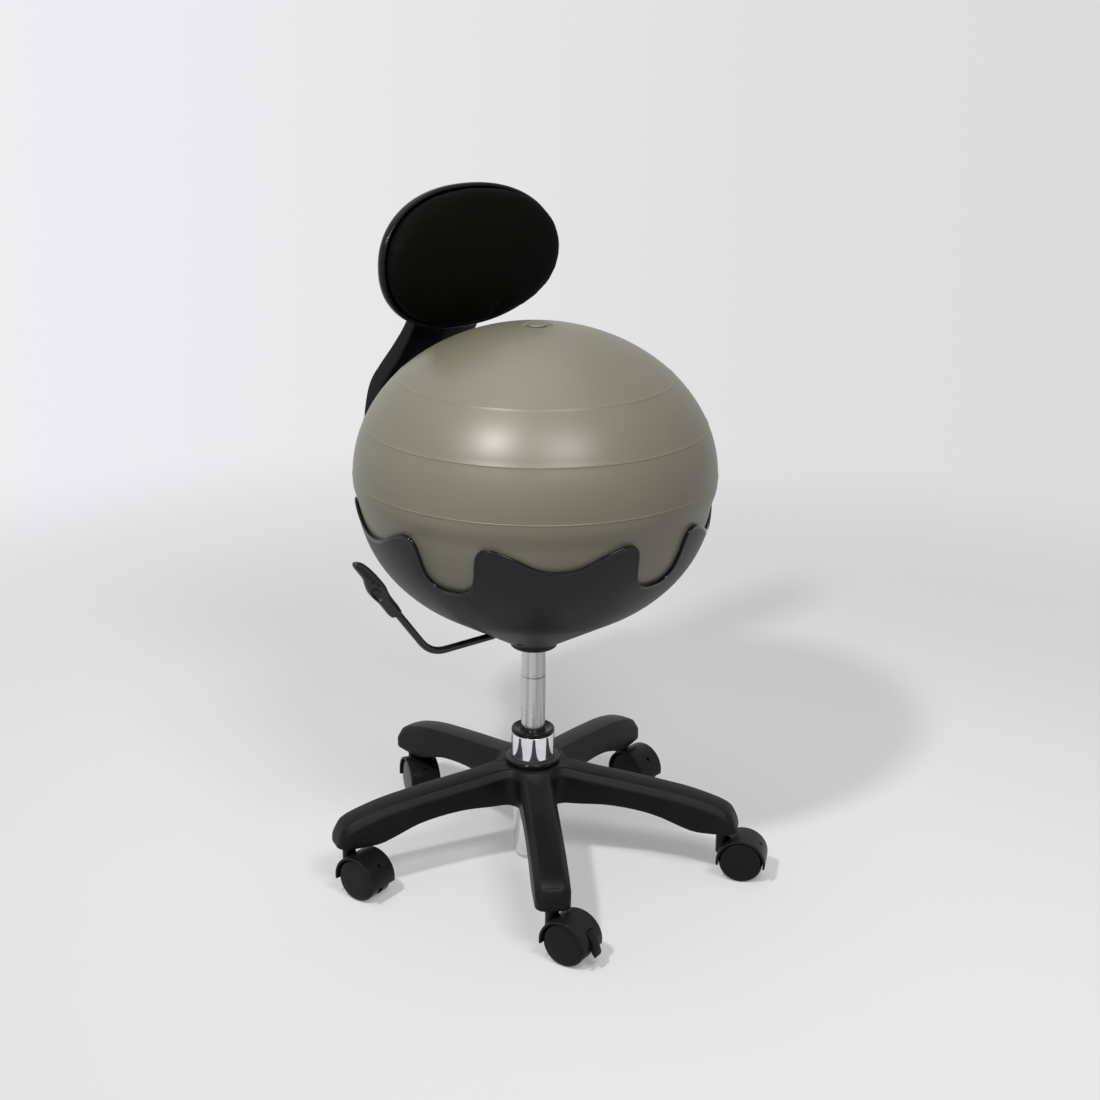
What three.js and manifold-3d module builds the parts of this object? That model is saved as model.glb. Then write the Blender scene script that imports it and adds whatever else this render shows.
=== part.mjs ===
// Balance ball chair: a soft ball in a scalloped bowl, on a gas lift and a five arm base with
// twin wheel casters, with a padded backrest on a curved beam and a height lever.
// Millimetres, +Z up, floor at z = 0. The sitter faces -Y, so the sitter's right hand is on -X.
// The column's axis is the Z axis until the whole chair is shifted, at the end, so that the
// middle of its bounding box stands over the origin.

import * as THREE from 'three'
import { mergeVertices } from 'three/addons/utils/BufferGeometryUtils.js'
import Module from 'manifold-3d'

const wasm = await Module()
wasm.setup()

// Clearances and cuts that every piece shares
const gap = 0.3
const runningGap = 0.35
const overrun = 2
const mergeTolerance = 1e-4

// Facets round a full turn
const bowlFacets = 36
const roundFacets = 24
const innerFacets = 16
const wheelFacets = 18
const smallFacets = 12

// Casters
const casterCount = 5
const wheelRadius = 25
const wheelFaceOut = 17.2
const wheelInner = 3.4
const wheelEdge = 1.6
const wheelFaceDish = 1.2
const wheelFaceRim = 4
const wheelHubRadius = 6.5
const wheelWall = 3
const axleRadius = 2.5
const axleEndWall = 2.6
const hoodRunGap = 0.8
const hoodWall = 2.7
const hoodOverhang = 1.6
const hoodBelowAxle = 4.5
const webThickness = 5.6
const webHubRadius = 7
const trail = 23.3
const tipGap = 6.5
const neckRadius = 7.6
const neckGap = 3.6
const neckRoomSteps = 8
const stemRadius = 5.5
const stemCollarRadius = 6.6
const stemCollarHeight = 2.9
const stemReach = 22
const stemGrooveDepth = 0.8
const stemGrooveHeight = 3
const stemSeatWall = 1.4
const windowSize = 4.5
const windowAngle = 42
// Where each caster trails, in degrees from the front towards the sitter's left
const trailHeadings = [14, 34.5, 3, -22.9, 10]

// Brake pedal of the first caster
const pedalWidth = 10.8
const pedalWindowGap = 0.9
const pedalTopAngle = 36
const pedalLowAngle = -8
const pedalBarrelRadius = 1.3
const pedalPinRadius = 0.8
const pedalPinReach = 1.6
const pedalPinGap = 0.25
const pedalTopClear = 4
const pedalThickness = 3
const pedalFlare = 3.4
const pedalToe = 5
const pedalWindowDepth = 2.2

// Star base
const tipReach = 243
const armHalfWidth = 19.5
const armTopHalfWidth = 13
const armShoulder = 8
const armCrown = 1
const baseRise = 58
const armsStart = -37.93
const tipInset = 17
const filletRadius = 14
const hubUnderShare = 0.3
const pocketWall = 4.5
const pocketRoof = 5.5
const pocketRib = 2.6
const pocketStart = 66
const pocketEnd = 198
const pocketsPerArm = 3
// Arm profile: share of the reach against share of the rise above the tip's underside
const armTopShares = [[0.1, 1], [0.165, 1], [0.3, 0.945], [0.43, 0.9], [0.55, 0.845], [0.64, 0.79],
  [0.76, 0.71], [0.87, 0.585], [0.935, 0.49], [0.965, 0.42], [0.985, 0.33], [1, 0.2]]
const armUnderShares = [[0.1, 0.33], [0.24, 0.34], [0.37, 0.385], [0.49, 0.36], [0.617, 0.27],
  [0.68, 0.165], [0.74, 0.065], [0.8, 0], [1, 0]]
// Share of the full half width near the rounded tip
const armWidthShares = [[0.1, 1], [0.935, 1], [0.965, 0.94], [0.985, 0.8], [1, 0.5]]
const armCrownShares = [[0.14, 0], [0.3, 1]]
const armStationShares = [0.1, 0.14, 0.2, 0.43, 0.617, 0.74, 0.8, 0.87, 0.935, 0.965, 0.985, 1]

// Gas lift
const ringRadius = 31.5
const ringHeight = 5
const tubeRadius = 25
const tubeShow = 36.2
const tubeLowRadius = 21.9
const tubeFloorGap = 5.2
const tubeRim = 1.3
const tubeWall = 2.4
const tubeFloorDrop = 3.8
const tubeFloor = 3
const taperDrop = 1.2
const bushSeatDepth = 40
const capHeight = 5
const capDish = 2.4
const capRim = 3
const cylinderRadius = 14
const cylinderShow = 106.2
const cylinderWall = 2.2
const taperShow = 41.4
const taperTopRadius = 13.2
const taperRingDepth = 0.35
const taperRingHeight = 0.8
const cylinderTopWall = 14
const stroke = 60
const rodRadius = 5
const pistonHeight = 12
const pistonAbove = 11.3
const rodGuideHeight = 12
const rodGuideLip = 0.8
const clipRadius = 9
const clipThickness = 1.4
const clipGap = 0.4
const bearingHeight = 4
const bearingRadius = 12.5
const shoulderHeight = 2.4
const shoulderRadius = 8.5
const bumperHeight = 5
const bumperClear = 1.2
const bumperRadius = 11
const releasePinRadius = 4
const releasePinOut = 6
const releasePinDepth = 22

// Bowl
const collarRadius = 27
const collarHeight = 5.5
const collarRound = 2.5
const bowlRadius = 196.8
const bowlDepth = 156.7
const bowlCentreRise = 183.4
const bowlWall = 3.5
const lobeCount = 5
const rimFloorDrop = 61.4
const rimRise = 57
const rimTopSpare = 2
const rimCutReach = 25
// Half of a lobe's rim: share of the half pitch from the lobe's middle against share of the rise
const rimShares = [[0, 0.6], [0.2, 0.67], [0.36, 0.83], [0.47, 0.94], [0.565, 1], [0.65, 0.975],
  [0.7, 0.88], [0.725, 0.7], [0.745, 0.42], [0.775, 0.2], [0.83, 0.075], [0.9, 0.015], [1, 0]]
const rimStepsPerHalf = 7

// Ball
const ballBulge = 4.4
const ballRise = 164.5
const ballCentreRise = 23.4
const ballSkin = 2.5
const ballSeatGap = 0.5
const ballUnderGap = 6.5
const ballFlatPower = 7
const ballUnderShares = [0.6, 0.8, 0.92]
const ballLeaveAngle = 48
const ballTopSteps = 7
const ballLowSteps = 5
const ballInnerSkip = 2
const ballShoulderSteps = 2
const valveRadius = 4.5
const dimpleRadius = 15
const dimpleDepth = 1.8
const dimpleSide = 2
const plugRadius = 10.5
const plugHeight = 2.4
const plugRound = 1.2
const plugShank = 9

// Mechanism plate under the ball
const socketRadius = 19
const socketRise = 3
const plateRise = 30.3
const plateThickness = 3
const plateHalfX = 52
const plateHalfY = 32
const plateCorner = 10
const plateScrewX = 40
const plateScrewY = 21
const plateBossRadius = 6
const cylinderAbovePlate = 5
const earThickness = 3
const earHalf = 8
const earInner = 7.5
const earCrown = 6.5
const plateSlotHalf = 6.5
const plateSlotStart = 37

// Release lever
const rodWireRadius = 4
const leverTouch = 3
const leverTipFlat = 26
const leverKneeX = 62
const leverKneeDrop = 20.8
const leverBendInset = 46.8
const leverBendDrop = 19.8
const leverEndOut = 1.8
const leverEndRise = 35.8
const leverBendRadius = 46
const leverKneeRadius = 10
const leverInGrip = 22
const pivotEyeRadius = 6.4
const pivotEyeHalf = 5.6
const pivotPinRadius = 2.8
const pivotHeadRadius = 4.2
const pivotHeadHeight = 1.6
const rodFacets = 8
const gripThickness = 8
const gripLength = 93
const gripWidth = 17.6
const gripTurn = 2
const gripSlotHalf = 0.9
const gripSlotDepth = 1.6
const gripDishDepth = 2.6
const gripDishRadius = 26
const gripBevel = 1.2
const leverSlotOutClear = 0.284
const leverSlotInClear = 1.267
const leverSlotHalf = 7
// Grip outline: share of its length from the rod's end, share of its width from the rod's axis
const gripOutlineShares = [[0.098, -0.26], [0.13, -0.31], [0.35, -0.29], [0.457, -0.365],
  [0.587, -0.375], [0.674, -0.23], [0.74, -0.07], [0.87, -0.035], [0.957, -0.01], [1, 0.094],
  [0.995, 0.265], [0.935, 0.44], [0.815, 0.585], [0.663, 0.63], [0.489, 0.615], [0.418, 0.585],
  [0.359, 0.48], [0.25, 0.42], [0.109, 0.39], [0.087, 0.18]]
// Grooves in the grip's face: start and end as shares of the length, place as share of the width
const gripSlotShares = [[0.78, 0.94, 0], [0.68, 0.92, 0.12], [0.57, 0.76, 0.28]]
const gripDishShares = [0.58, -0.14]

// Back support beam
const beamHalfWidth = 51
const beamFootHalfWidth = 22
const beamFootThickness = 10
const beamThickness = 20
const beamTopThickness = 13
const beamSeatGap = 0.4
const beamWeb = 5
const beamRib = 3
const beamLeanClear = 8
// Front face above the ball's middle: share of the ball's radius back, share of the way up to
// the pad's centre, share of the full thickness
const beamUpperShares = [[0.735, 0.633, 0.72], [0.85, 0.474, 0.9], [0.965, 0.352, 0.96],
  [1.039, 0.262, 1], [1.083, 0.136, 1], [1.1, -0.011, 1], [1.084, -0.154, 0.98]]
// Front face beside the bowl: degrees below its middle, share of the seat clearance at the
// equator, share of the full width
const beamLowerShares = [[20, 0.55, 0.86], [34, 0.33, 0.68], [46, 0.14, 0.52]]
const beamEquatorGap = 24
// Front face on the cone: share of the way from the collar to the bowl's round part
const beamFootShares = [0.93, 0.56, 0.2]
const beamScrewShares = [0.82, 0.6, 0.38]

// Backrest
const padBallInset = 83.7
const padCentreZ = 696
const shellHalfWidth = 128
const shellHalfHeight = 79.5
const shellPower = 2.2
const shellCurveRadius = 670
const shellBack = 11.5
const shellFloor = 5.6
const shellLip = 3
const shellLipWall = 3.2
const shellRoll = 2.2
const padProud = 30
const padSeatGap = 0.4
const padInset = 3.4
const padFoot = 5.2
const outlinePoints = 36
// Pad face: share of its proud height against share of the drawn-in half width
const padCrownShares = [[0.12, 0.985], [0.3, 0.97], [0.5, 0.925], [0.7, 0.84], [0.85, 0.71],
  [0.94, 0.55], [0.985, 0.38]]
const shellScrewX = 24
const shellScrewZ = 17

// Screws
const screwHeadRadius = 4.6
const screwHeadHeight = 3
const screwRadius = 2.1
const screwHoleGap = 0.4
const screwBite = 8
const shellScrewBite = 4.4

// Heights and places that follow from the sizes above
const hoodInner = wheelRadius + hoodRunGap
const hoodRadius = hoodInner + hoodWall
const hoodHalf = wheelFaceOut + hoodOverhang
const armUnder = wheelRadius + hoodRadius + tipGap
const hubTop = armUnder + baseRise
const hubUnder = armUnder + baseRise * hubUnderShare
const stemPlace = tipReach - tipInset
const tubeTop = hubTop + tubeShow
const capTop = tubeTop + gap + capHeight
const seatLow = capTop + cylinderShow
const coneLow = seatLow + collarHeight
const bowlCentre = seatLow + bowlCentreRise
const ballRadius = bowlRadius + ballBulge
const padCentreY = ballRadius - padBallInset
const rimFloor = bowlCentre - rimFloorDrop
const rimTop = rimFloor + rimRise
const ballCentre = bowlCentre + ballCentreRise
const ballTop = ballCentre + ballRise
const plateUnder = seatLow + plateRise
const plateTop = plateUnder + plateThickness
const cylinderTop = plateTop + cylinderAbovePlate
const tubeFloorTop = tubeFloorGap + tubeFloorDrop + tubeFloor
const shoulderLow = tubeFloorTop + bearingHeight + 2 * gap
const shoulderTop = shoulderLow + shoulderHeight
const bumperTop = shoulderTop + gap + bumperHeight
// At the end of its stroke the cylinder stops just above the bumper
const cylinderLow = bumperTop + bumperClear + stroke
const leverTipZ = cylinderTop + releasePinOut + gap + rodWireRadius
const ballUnder = leverTipZ + rodWireRadius + ballUnderGap
const pivotX = (leverTipFlat + leverKneeX) / 2
const pivotZ = leverTipZ - leverKneeDrop / 2

// Materials
const finish = {
  nylon: new THREE.MeshStandardMaterial({ color: 0x1c1d1e, roughness: 0.6, metalness: 0 }),
  gloss: new THREE.MeshStandardMaterial({ color: 0x0e0e10, roughness: 0.25, metalness: 0 }),
  bowl: new THREE.MeshStandardMaterial({ color: 0x1f2022, roughness: 0.45, metalness: 0 }),
  chrome: new THREE.MeshStandardMaterial({ color: 0xd8d9dc, roughness: 0.12, metalness: 1 }),
  steel: new THREE.MeshStandardMaterial({ color: 0x8e9094, roughness: 0.4, metalness: 1 }),
  ball: new THREE.MeshStandardMaterial({ color: 0x8a8873, roughness: 0.5, metalness: 0 }),
  fabric: new THREE.MeshStandardMaterial({ color: 0x121412, roughness: 0.95, metalness: 0 }),
  rubber: new THREE.MeshStandardMaterial({ color: 0x262626, roughness: 0.9, metalness: 0 }),
}

// A closed mesh with merged corners, no empty triangles and its faces pointing out
function clean(geometry) {
  const bare = geometry.clone()
  for (const name of Object.keys(bare.attributes)) {
    if (name !== 'position') bare.deleteAttribute(name)
  }
  const merged = mergeVertices(bare, mergeTolerance)
  const place = merged.attributes.position
  const corners = merged.index.array
  const kept = []
  let volume = 0
  const a = new THREE.Vector3()
  const b = new THREE.Vector3()
  const c = new THREE.Vector3()
  for (let i = 0; i < corners.length; i += 3) {
    const [p, q, r] = [corners[i], corners[i + 1], corners[i + 2]]
    if (p === q || q === r || r === p) continue
    a.fromBufferAttribute(place, p)
    b.fromBufferAttribute(place, q)
    c.fromBufferAttribute(place, r)
    volume += a.dot(b.cross(c))
    kept.push(p, q, r)
  }
  if (volume < 0) kept.reverse()
  const out = new THREE.BufferGeometry()
  out.setAttribute('position', place.clone())
  out.setIndex(kept)
  return out
}

function solid(geometry) {
  const closed = clean(geometry)
  return new wasm.Manifold(new wasm.Mesh({
    numProp: 3,
    vertProperties: new Float32Array(closed.attributes.position.array),
    triVerts: new Uint32Array(closed.index.array),
  }))
}

function geometryOf(body) {
  const mesh = body.getMesh()
  const out = new THREE.BufferGeometry()
  const stride = mesh.numProp
  const count = mesh.vertProperties.length / stride
  const place = new Float32Array(count * 3)
  for (let i = 0; i < count; i++) {
    for (let k = 0; k < 3; k++) place[i * 3 + k] = mesh.vertProperties[i * stride + k]
  }
  out.setAttribute('position', new THREE.BufferAttribute(place, 3))
  out.setIndex([...mesh.triVerts])
  return out
}

function join(...bodies) {
  return bodies.reduce((whole, body) => whole.add(body))
}

function cut(body, ...tools) {
  return tools.reduce((rest, tool) => rest.subtract(tool), body)
}

function piece(name, shape, material, parent) {
  const geometry = shape.isBufferGeometry ? clean(shape) : geometryOf(shape)
  geometry.computeVertexNormals()
  const mesh = new THREE.Mesh(geometry, material)
  mesh.name = name
  parent.add(mesh)
  return mesh
}

// A profile of [radius, height] points turned round Z, closed on itself or on the axis
function revolve(profile, facets) {
  const points = profile.map(([r, z]) => new THREE.Vector2(r, z))
  points.push(points[0].clone())
  const turned = new THREE.LatheGeometry(points, facets)
  turned.rotateX(Math.PI / 2)
  return turned
}

function cylinder(radius, low, high, facets = roundFacets) {
  return revolve([[0, low], [radius, low], [radius, high], [0, high]], facets)
}

function box(lowX, highX, lowY, highY, lowZ, highZ) {
  const block = new THREE.BoxGeometry(highX - lowX, highY - lowY, highZ - lowZ)
  block.translate((lowX + highX) / 2, (lowY + highY) / 2, (lowZ + highZ) / 2)
  return block
}

// A shape drawn in X and Z, made thick along Y from low to high
function plateXZ(shape, low, high, curveSegments = 12) {
  const block = new THREE.ExtrudeGeometry(shape, {
    depth: high - low, bevelEnabled: false, curveSegments,
  })
  block.rotateX(Math.PI / 2)
  block.translate(0, high, 0)
  return block
}

function middle(ring) {
  const centre = new THREE.Vector3()
  for (const point of ring) centre.add(point)
  return centre.divideScalar(ring.length)
}

// A skin over rings with equal counts; a ring of one point closes an end
function skin(rings) {
  const place = []
  const index = []
  const starts = []
  for (const ring of rings) {
    starts.push(place.length / 3)
    for (const point of ring) place.push(point.x, point.y, point.z)
  }
  for (let i = 0; i + 1 < rings.length; i++) {
    const here = rings[i].length
    const next = rings[i + 1].length
    const count = Math.max(here, next)
    for (let k = 0; k < count; k++) {
      const k2 = (k + 1) % count
      const a = starts[i] + (here === 1 ? 0 : k)
      const b = starts[i] + (here === 1 ? 0 : k2)
      const c = starts[i + 1] + (next === 1 ? 0 : k2)
      const d = starts[i + 1] + (next === 1 ? 0 : k)
      if (here > 1) index.push(a, b, c)
      if (next > 1) index.push(a, c, d)
    }
  }
  const out = new THREE.BufferGeometry()
  out.setAttribute('position', new THREE.Float32BufferAttribute(place, 3))
  out.setIndex(index)
  return out
}

function loft(rings) {
  return skin([[middle(rings[0])], ...rings, [middle(rings[rings.length - 1])]])
}

// The value at a place on a table of [place, value] shares
function along(shares, place) {
  const last = shares.length - 1
  if (place <= shares[0][0]) return shares[0][1]
  if (place >= shares[last][0]) return shares[last][1]
  const next = shares.findIndex(([at]) => at >= place)
  const [a, va] = shares[next - 1]
  const [b, vb] = shares[next]
  return va + (vb - va) * (place - a) / (b - a)
}

function radians(degrees) {
  return THREE.MathUtils.degToRad(degrees)
}

// The turn about Z that points local +X at a heading, in degrees from the front
function turnTo(heading) {
  return radians(heading - 90)
}

// Star base
function armTop(share) {
  return armUnder + baseRise * along(armTopShares, share)
}

function armLow(share) {
  return armUnder + baseRise * along(armUnderShares, share)
}

function armRing(share) {
  const width = along(armWidthShares, share)
  const side = armHalfWidth * width
  const crown = armTopHalfWidth * width
  const top = armTop(share)
  const low = armLow(share)
  const edge = Math.max(top - armShoulder, (top + low) / 2)
  const x = tipReach * share
  const ridge = top + armCrown * along(armCrownShares, share)
  return [[-side, low], [side, low], [side, edge], [crown, top], [0, ridge], [-crown, top], [-side, edge]]
    .map(([y, z]) => new THREE.Vector3(x, y, z))
}

function armPocket(bay, side) {
  const bayLength = (pocketEnd - pocketStart + pocketRib) / pocketsPerArm
  const nearX = pocketStart + bay * bayLength
  const ring = (x) => {
    const roof = armTop(x / tipReach) - pocketRoof
    const low = armUnder - overrun
    const inner = side * pocketRib / 2
    const outer = side * (armHalfWidth - pocketWall)
    return [[inner, low], [outer, low], [outer, roof], [inner, roof]]
      .map(([y, z]) => new THREE.Vector3(x, y, z))
  }
  return loft([ring(nearX), ring(nearX + bayLength - pocketRib)])
}

// The hub's outline at one height: flat across each arm, a hollow round between two arms
function hubRing(halfWidth, z) {
  const pitch = 2 * Math.PI / casterCount
  const centreOut = (armHalfWidth + filletRadius) / Math.sin(pitch / 2)
  const round = centreOut * Math.sin(pitch / 2) - halfWidth
  const sweep = Math.PI - pitch
  const steps = 5
  const points = []
  for (let arm = 0; arm < casterCount; arm++) {
    const between = (arm + 0.5) * pitch
    for (let k = 0; k <= steps; k++) {
      const angle = between + Math.PI + sweep * (0.5 - k / steps)
      points.push(new THREE.Vector3(
        centreOut * Math.cos(between) + round * Math.cos(angle),
        centreOut * Math.sin(between) + round * Math.sin(angle), z))
    }
  }
  return points
}

function starBase() {
  const parts = []
  const cuts = []
  const hub = [hubRing(armHalfWidth, hubUnder), hubRing(armHalfWidth, hubTop - armShoulder),
    hubRing(armTopHalfWidth, hubTop)]
  parts.push(solid(skin([[new THREE.Vector3(0, 0, hubUnder)], ...hub,
    [new THREE.Vector3(0, 0, hubTop)]])))
  for (let arm = 0; arm < casterCount; arm++) {
    const turn = 2 * Math.PI * arm / casterCount
    const place = (geometry) => solid(geometry.rotateZ(turn))
    parts.push(place(loft(armStationShares.map(armRing))))
    for (let bay = 0; bay < pocketsPerArm; bay++) {
      cuts.push(place(armPocket(bay, 1)), place(armPocket(bay, -1)))
    }
    const socket = cylinder(stemRadius + gap, armUnder - overrun, armUnder + stemReach + gap, smallFacets)
    cuts.push(place(socket.translate(stemPlace, 0, 0)))
  }
  // The hub's taper holds the lift's outer tube
  const bore = revolve([[0, hubUnder - overrun], [tubeLowRadius + gap, hubUnder - overrun],
    [tubeLowRadius + gap, hubUnder], [tubeRadius + gap, hubTop - taperDrop],
    [tubeRadius + gap, hubTop + overrun], [0, hubTop + overrun]], roundFacets)
  return cut(join(...parts), ...cuts, solid(bore))
}

// Gas lift
function outerTube() {
  const low = tubeFloorGap
  const bushInner = tubeRadius - tubeWall
  const lowInner = tubeLowRadius - tubeWall
  const step = tubeTop - bushSeatDepth
  return revolve([
    [lowInner, low], [tubeLowRadius - tubeRim, low], [tubeLowRadius, low + tubeRim],
    [tubeLowRadius, hubUnder - gap], [tubeRadius, hubTop - taperDrop + gap], [tubeRadius, tubeTop],
    [bushInner, tubeTop], [bushInner, step], [lowInner, step - tubeWall], [lowInner, tubeFloorTop],
    [rodRadius + runningGap, tubeFloorTop], [rodRadius + runningGap, tubeFloorTop - tubeFloor],
    [lowInner, tubeFloorTop - tubeFloor],
  ], roundFacets)
}

function guideBush() {
  const sleeve = tubeRadius - tubeWall - gap
  const inner = cylinderRadius + runningGap
  const seat = tubeTop + gap
  return revolve([
    [inner, tubeTop - bushSeatDepth + gap], [sleeve, tubeTop - bushSeatDepth + gap], [sleeve, seat],
    [tubeRadius, seat], [tubeRadius, capTop - taperDrop], [tubeRadius - taperDrop, capTop],
    [tubeRadius - capRim, capTop], [inner + taperDrop, capTop - capDish], [inner, capTop - capDish],
  ], roundFacets)
}

function gasCylinder() {
  const bore = cylinderRadius - cylinderWall
  const taperLow = seatLow - taperShow
  const ring = cylinderRadius - taperRingDepth
  const taperStart = cylinderRadius - gap
  const pinHole = releasePinRadius + runningGap
  return revolve([
    [bore, cylinderLow], [cylinderRadius, cylinderLow], [cylinderRadius, taperLow],
    [ring, taperLow], [ring, taperLow + taperRingHeight], [taperStart, taperLow + taperRingHeight],
    [taperTopRadius, cylinderTop], [pinHole, cylinderTop], [pinHole, cylinderTop - cylinderTopWall],
    [bore, cylinderTop - cylinderTopWall],
  ], roundFacets)
}

function rodGuide() {
  const outer = cylinderRadius - cylinderWall - gap
  const low = cylinderLow + rodGuideLip
  return revolve([[rodRadius + runningGap, low], [outer, low], [outer, low + rodGuideHeight],
    [rodRadius + runningGap, low + rodGuideHeight]], innerFacets)
}

const pistonLow = cylinderLow + rodGuideLip + rodGuideHeight + pistonAbove
const clipTop = tubeFloorTop - tubeFloor - clipGap

function pistonRod() {
  const groove = rodRadius - stemGrooveDepth
  const piston = cylinderRadius - cylinderWall - gap
  const grooveLow = clipTop - clipThickness - gap
  return revolve([
    [0, clipTop - clipThickness - clipGap], [rodRadius, clipTop - clipThickness - clipGap],
    [rodRadius, grooveLow], [groove, grooveLow], [groove, clipTop + gap], [rodRadius, clipTop + gap],
    [rodRadius, shoulderLow], [shoulderRadius, shoulderLow], [shoulderRadius, shoulderTop],
    [rodRadius, shoulderTop], [rodRadius, pistonLow], [piston, pistonLow], [piston, pistonLow + pistonHeight],
    [0, pistonLow + pistonHeight],
  ], innerFacets)
}

function rodClip() {
  const inner = rodRadius - stemGrooveDepth + gap
  const low = clipTop - clipThickness
  return cut(
    solid(revolve([[inner, low], [clipRadius, low], [clipRadius, clipTop], [inner, clipTop]], innerFacets)),
    solid(box(0, clipRadius + overrun, -inner, inner, low - overrun, clipTop + overrun)))
}

function thrustBearing() {
  const low = tubeFloorTop + gap
  const high = low + bearingHeight
  const inner = rodRadius + runningGap
  return revolve([[inner, low], [bearingRadius, low], [bearingRadius, high], [inner, high]], innerFacets)
}

function bumper() {
  const inner = rodRadius + gap
  const low = shoulderTop + gap
  const high = bumperTop
  const round = bumperHeight / 4
  return revolve([[inner, low], [bumperRadius - round, low], [bumperRadius, low + round],
    [bumperRadius, high - round], [bumperRadius - round, high], [inner, high]], innerFacets)
}

function releasePin() {
  const high = cylinderTop + releasePinOut
  const round = releasePinRadius / 4
  return revolve([[0, high - releasePinDepth], [releasePinRadius, high - releasePinDepth],
    [releasePinRadius, high - round], [releasePinRadius - round, high], [0, high]], smallFacets)
}

// Casters, each in a frame with its stem on Z and its trail along +X
function hoodArc(radius, low, high, inner) {
  const shape = new THREE.Shape()
  shape.absarc(trail, wheelRadius, radius, low, high, false)
  if (inner) shape.absarc(trail, wheelRadius, inner, high, low, true)
  shape.closePath()
  return shape
}

// A block that cuts the hood's wall at an angle above the axle's level
function hoodWindow(lowAngle, highAngle, half, inner) {
  const shape = new THREE.Shape()
  const outer = hoodRadius + overrun
  shape.absarc(trail, wheelRadius, outer, radians(lowAngle), radians(highAngle), false)
  shape.absarc(trail, wheelRadius, inner, radians(highAngle), radians(lowAngle), true)
  shape.closePath()
  return solid(plateXZ(shape, -half, half, 4))
}

function hood(braked) {
  const dip = Math.asin(hoodBelowAxle / hoodRadius)
  const shell = solid(plateXZ(hoodArc(hoodRadius, -dip, Math.PI + dip, hoodInner), -hoodHalf, hoodHalf, 8))
  const webDisc = hoodArc(hoodInner + hoodWall / 2, -dip, Math.PI + dip)
  const web = solid(plateXZ(webDisc, -webThickness / 2, webThickness / 2, 8))
  const webHub = new THREE.Shape()
  webHub.absarc(trail, wheelRadius, webHubRadius, 0, 2 * Math.PI, false)
  const boss = solid(plateXZ(webHub, -webThickness / 2, webThickness / 2, 6))
  const neckTop = armUnder - neckGap
  // The flats, not the corners, of the wheels' room in the neck stand at the hood's inner radius
  const room = new THREE.Shape()
  room.absarc(trail, wheelRadius, hoodInner / Math.cos(Math.PI / neckRoomSteps / 2), 0, 2 * Math.PI, false)
  const neck = cut(solid(cylinder(neckRadius, wheelRadius, neckTop, smallFacets)),
    solid(plateXZ(room, -hoodHalf, hoodHalf, neckRoomSteps)))
  const axleHole = new THREE.Shape()
  axleHole.absarc(trail, wheelRadius, axleRadius + gap, 0, 2 * Math.PI, false)
  const stemHole = cylinder(stemRadius + runningGap, stemSeat(), neckTop + overrun, smallFacets)
  const halfWindow = THREE.MathUtils.radToDeg(windowSize / 2 / hoodRadius)
  const opening = braked
    ? hoodWindow(pedalLowAngle * 4, pedalTopAngle + pedalTopClear, pedalWidth / 2 + pedalWindowGap,
      wheelRadius - pedalWindowDepth).add(pedalPin(pedalPinRadius + pedalPinGap,
      pedalWidth / 2 + pedalPinReach + pedalPinGap))
    : hoodWindow(windowAngle - halfWindow, windowAngle + halfWindow, windowSize / 2, hoodInner - overrun / 4)
  return cut(join(shell, web, boss, neck), solid(plateXZ(axleHole, -webThickness, webThickness, 6)),
    solid(stemHole), opening)
}

// The stem's blind seat stays clear of the wheels below it
function stemSeat() {
  const near = trail - stemRadius
  return wheelRadius + Math.sqrt(hoodInner ** 2 - near ** 2) + stemSeatWall
}

function casterStem() {
  const low = stemSeat() + gap
  const neckTop = armUnder - neckGap
  const collarLow = neckTop + gap
  const collarHigh = Math.min(collarLow + stemCollarHeight, armUnder - gap)
  const top = armUnder + stemReach
  const groove = top - stemGrooveHeight
  const waist = stemRadius - stemGrooveDepth
  return revolve([[0, low], [stemRadius, low], [stemRadius, collarLow], [stemCollarRadius, collarLow],
    [stemCollarRadius, collarHigh], [stemRadius, collarHigh], [stemRadius, groove], [waist, top],
    [0, top]], smallFacets)
}

// A lathe profile of [radius, outward] points turned round the axle, on one side of the web
function wheelTurn(profile, side, facets) {
  const geometry = revolve(profile, facets)
  geometry.rotateZ(Math.PI / facets)
  geometry.rotateX(-side * Math.PI / 2)
  geometry.translate(trail, 0, wheelRadius)
  return geometry
}

function wheel(side) {
  // The flats, not the corners, stand at the wheel's radius
  const full = wheelRadius / Math.cos(Math.PI / wheelFacets)
  const bore = axleRadius + runningGap
  const faceRim = full - wheelEdge - wheelFaceRim
  return wheelTurn([
    [bore, wheelInner], [wheelHubRadius, wheelInner], [wheelHubRadius, wheelFaceOut - wheelWall * 2],
    [full - wheelWall, wheelFaceOut - wheelWall * 2], [full - wheelWall, wheelInner],
    [full, wheelInner], [full, wheelFaceOut - wheelEdge], [full - wheelEdge, wheelFaceOut],
    [faceRim, wheelFaceOut], [faceRim, wheelFaceOut - wheelFaceDish],
    [0, wheelFaceOut - wheelFaceDish], [0, wheelFaceOut - axleEndWall],
    [bore, wheelFaceOut - axleEndWall],
  ], side, wheelFacets)
}

function axle() {
  const half = wheelFaceOut - axleEndWall - gap
  return wheelTurn([[0, -half], [axleRadius, -half], [axleRadius, half], [0, half]], 1, smallFacets)
}

function polarPoint(angle, radius) {
  return [trail + radius * Math.cos(radians(angle)), wheelRadius + radius * Math.sin(radians(angle))]
}

const pedalPivotRadius = hoodInner + hoodWall / 2

function pedalPin(radius, half) {
  const pin = new THREE.Shape()
  pin.absarc(...polarPoint(pedalTopAngle, pedalPivotRadius), radius, 0, 2 * Math.PI, false)
  return solid(plateXZ(pin, -half, half, 5))
}

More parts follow.
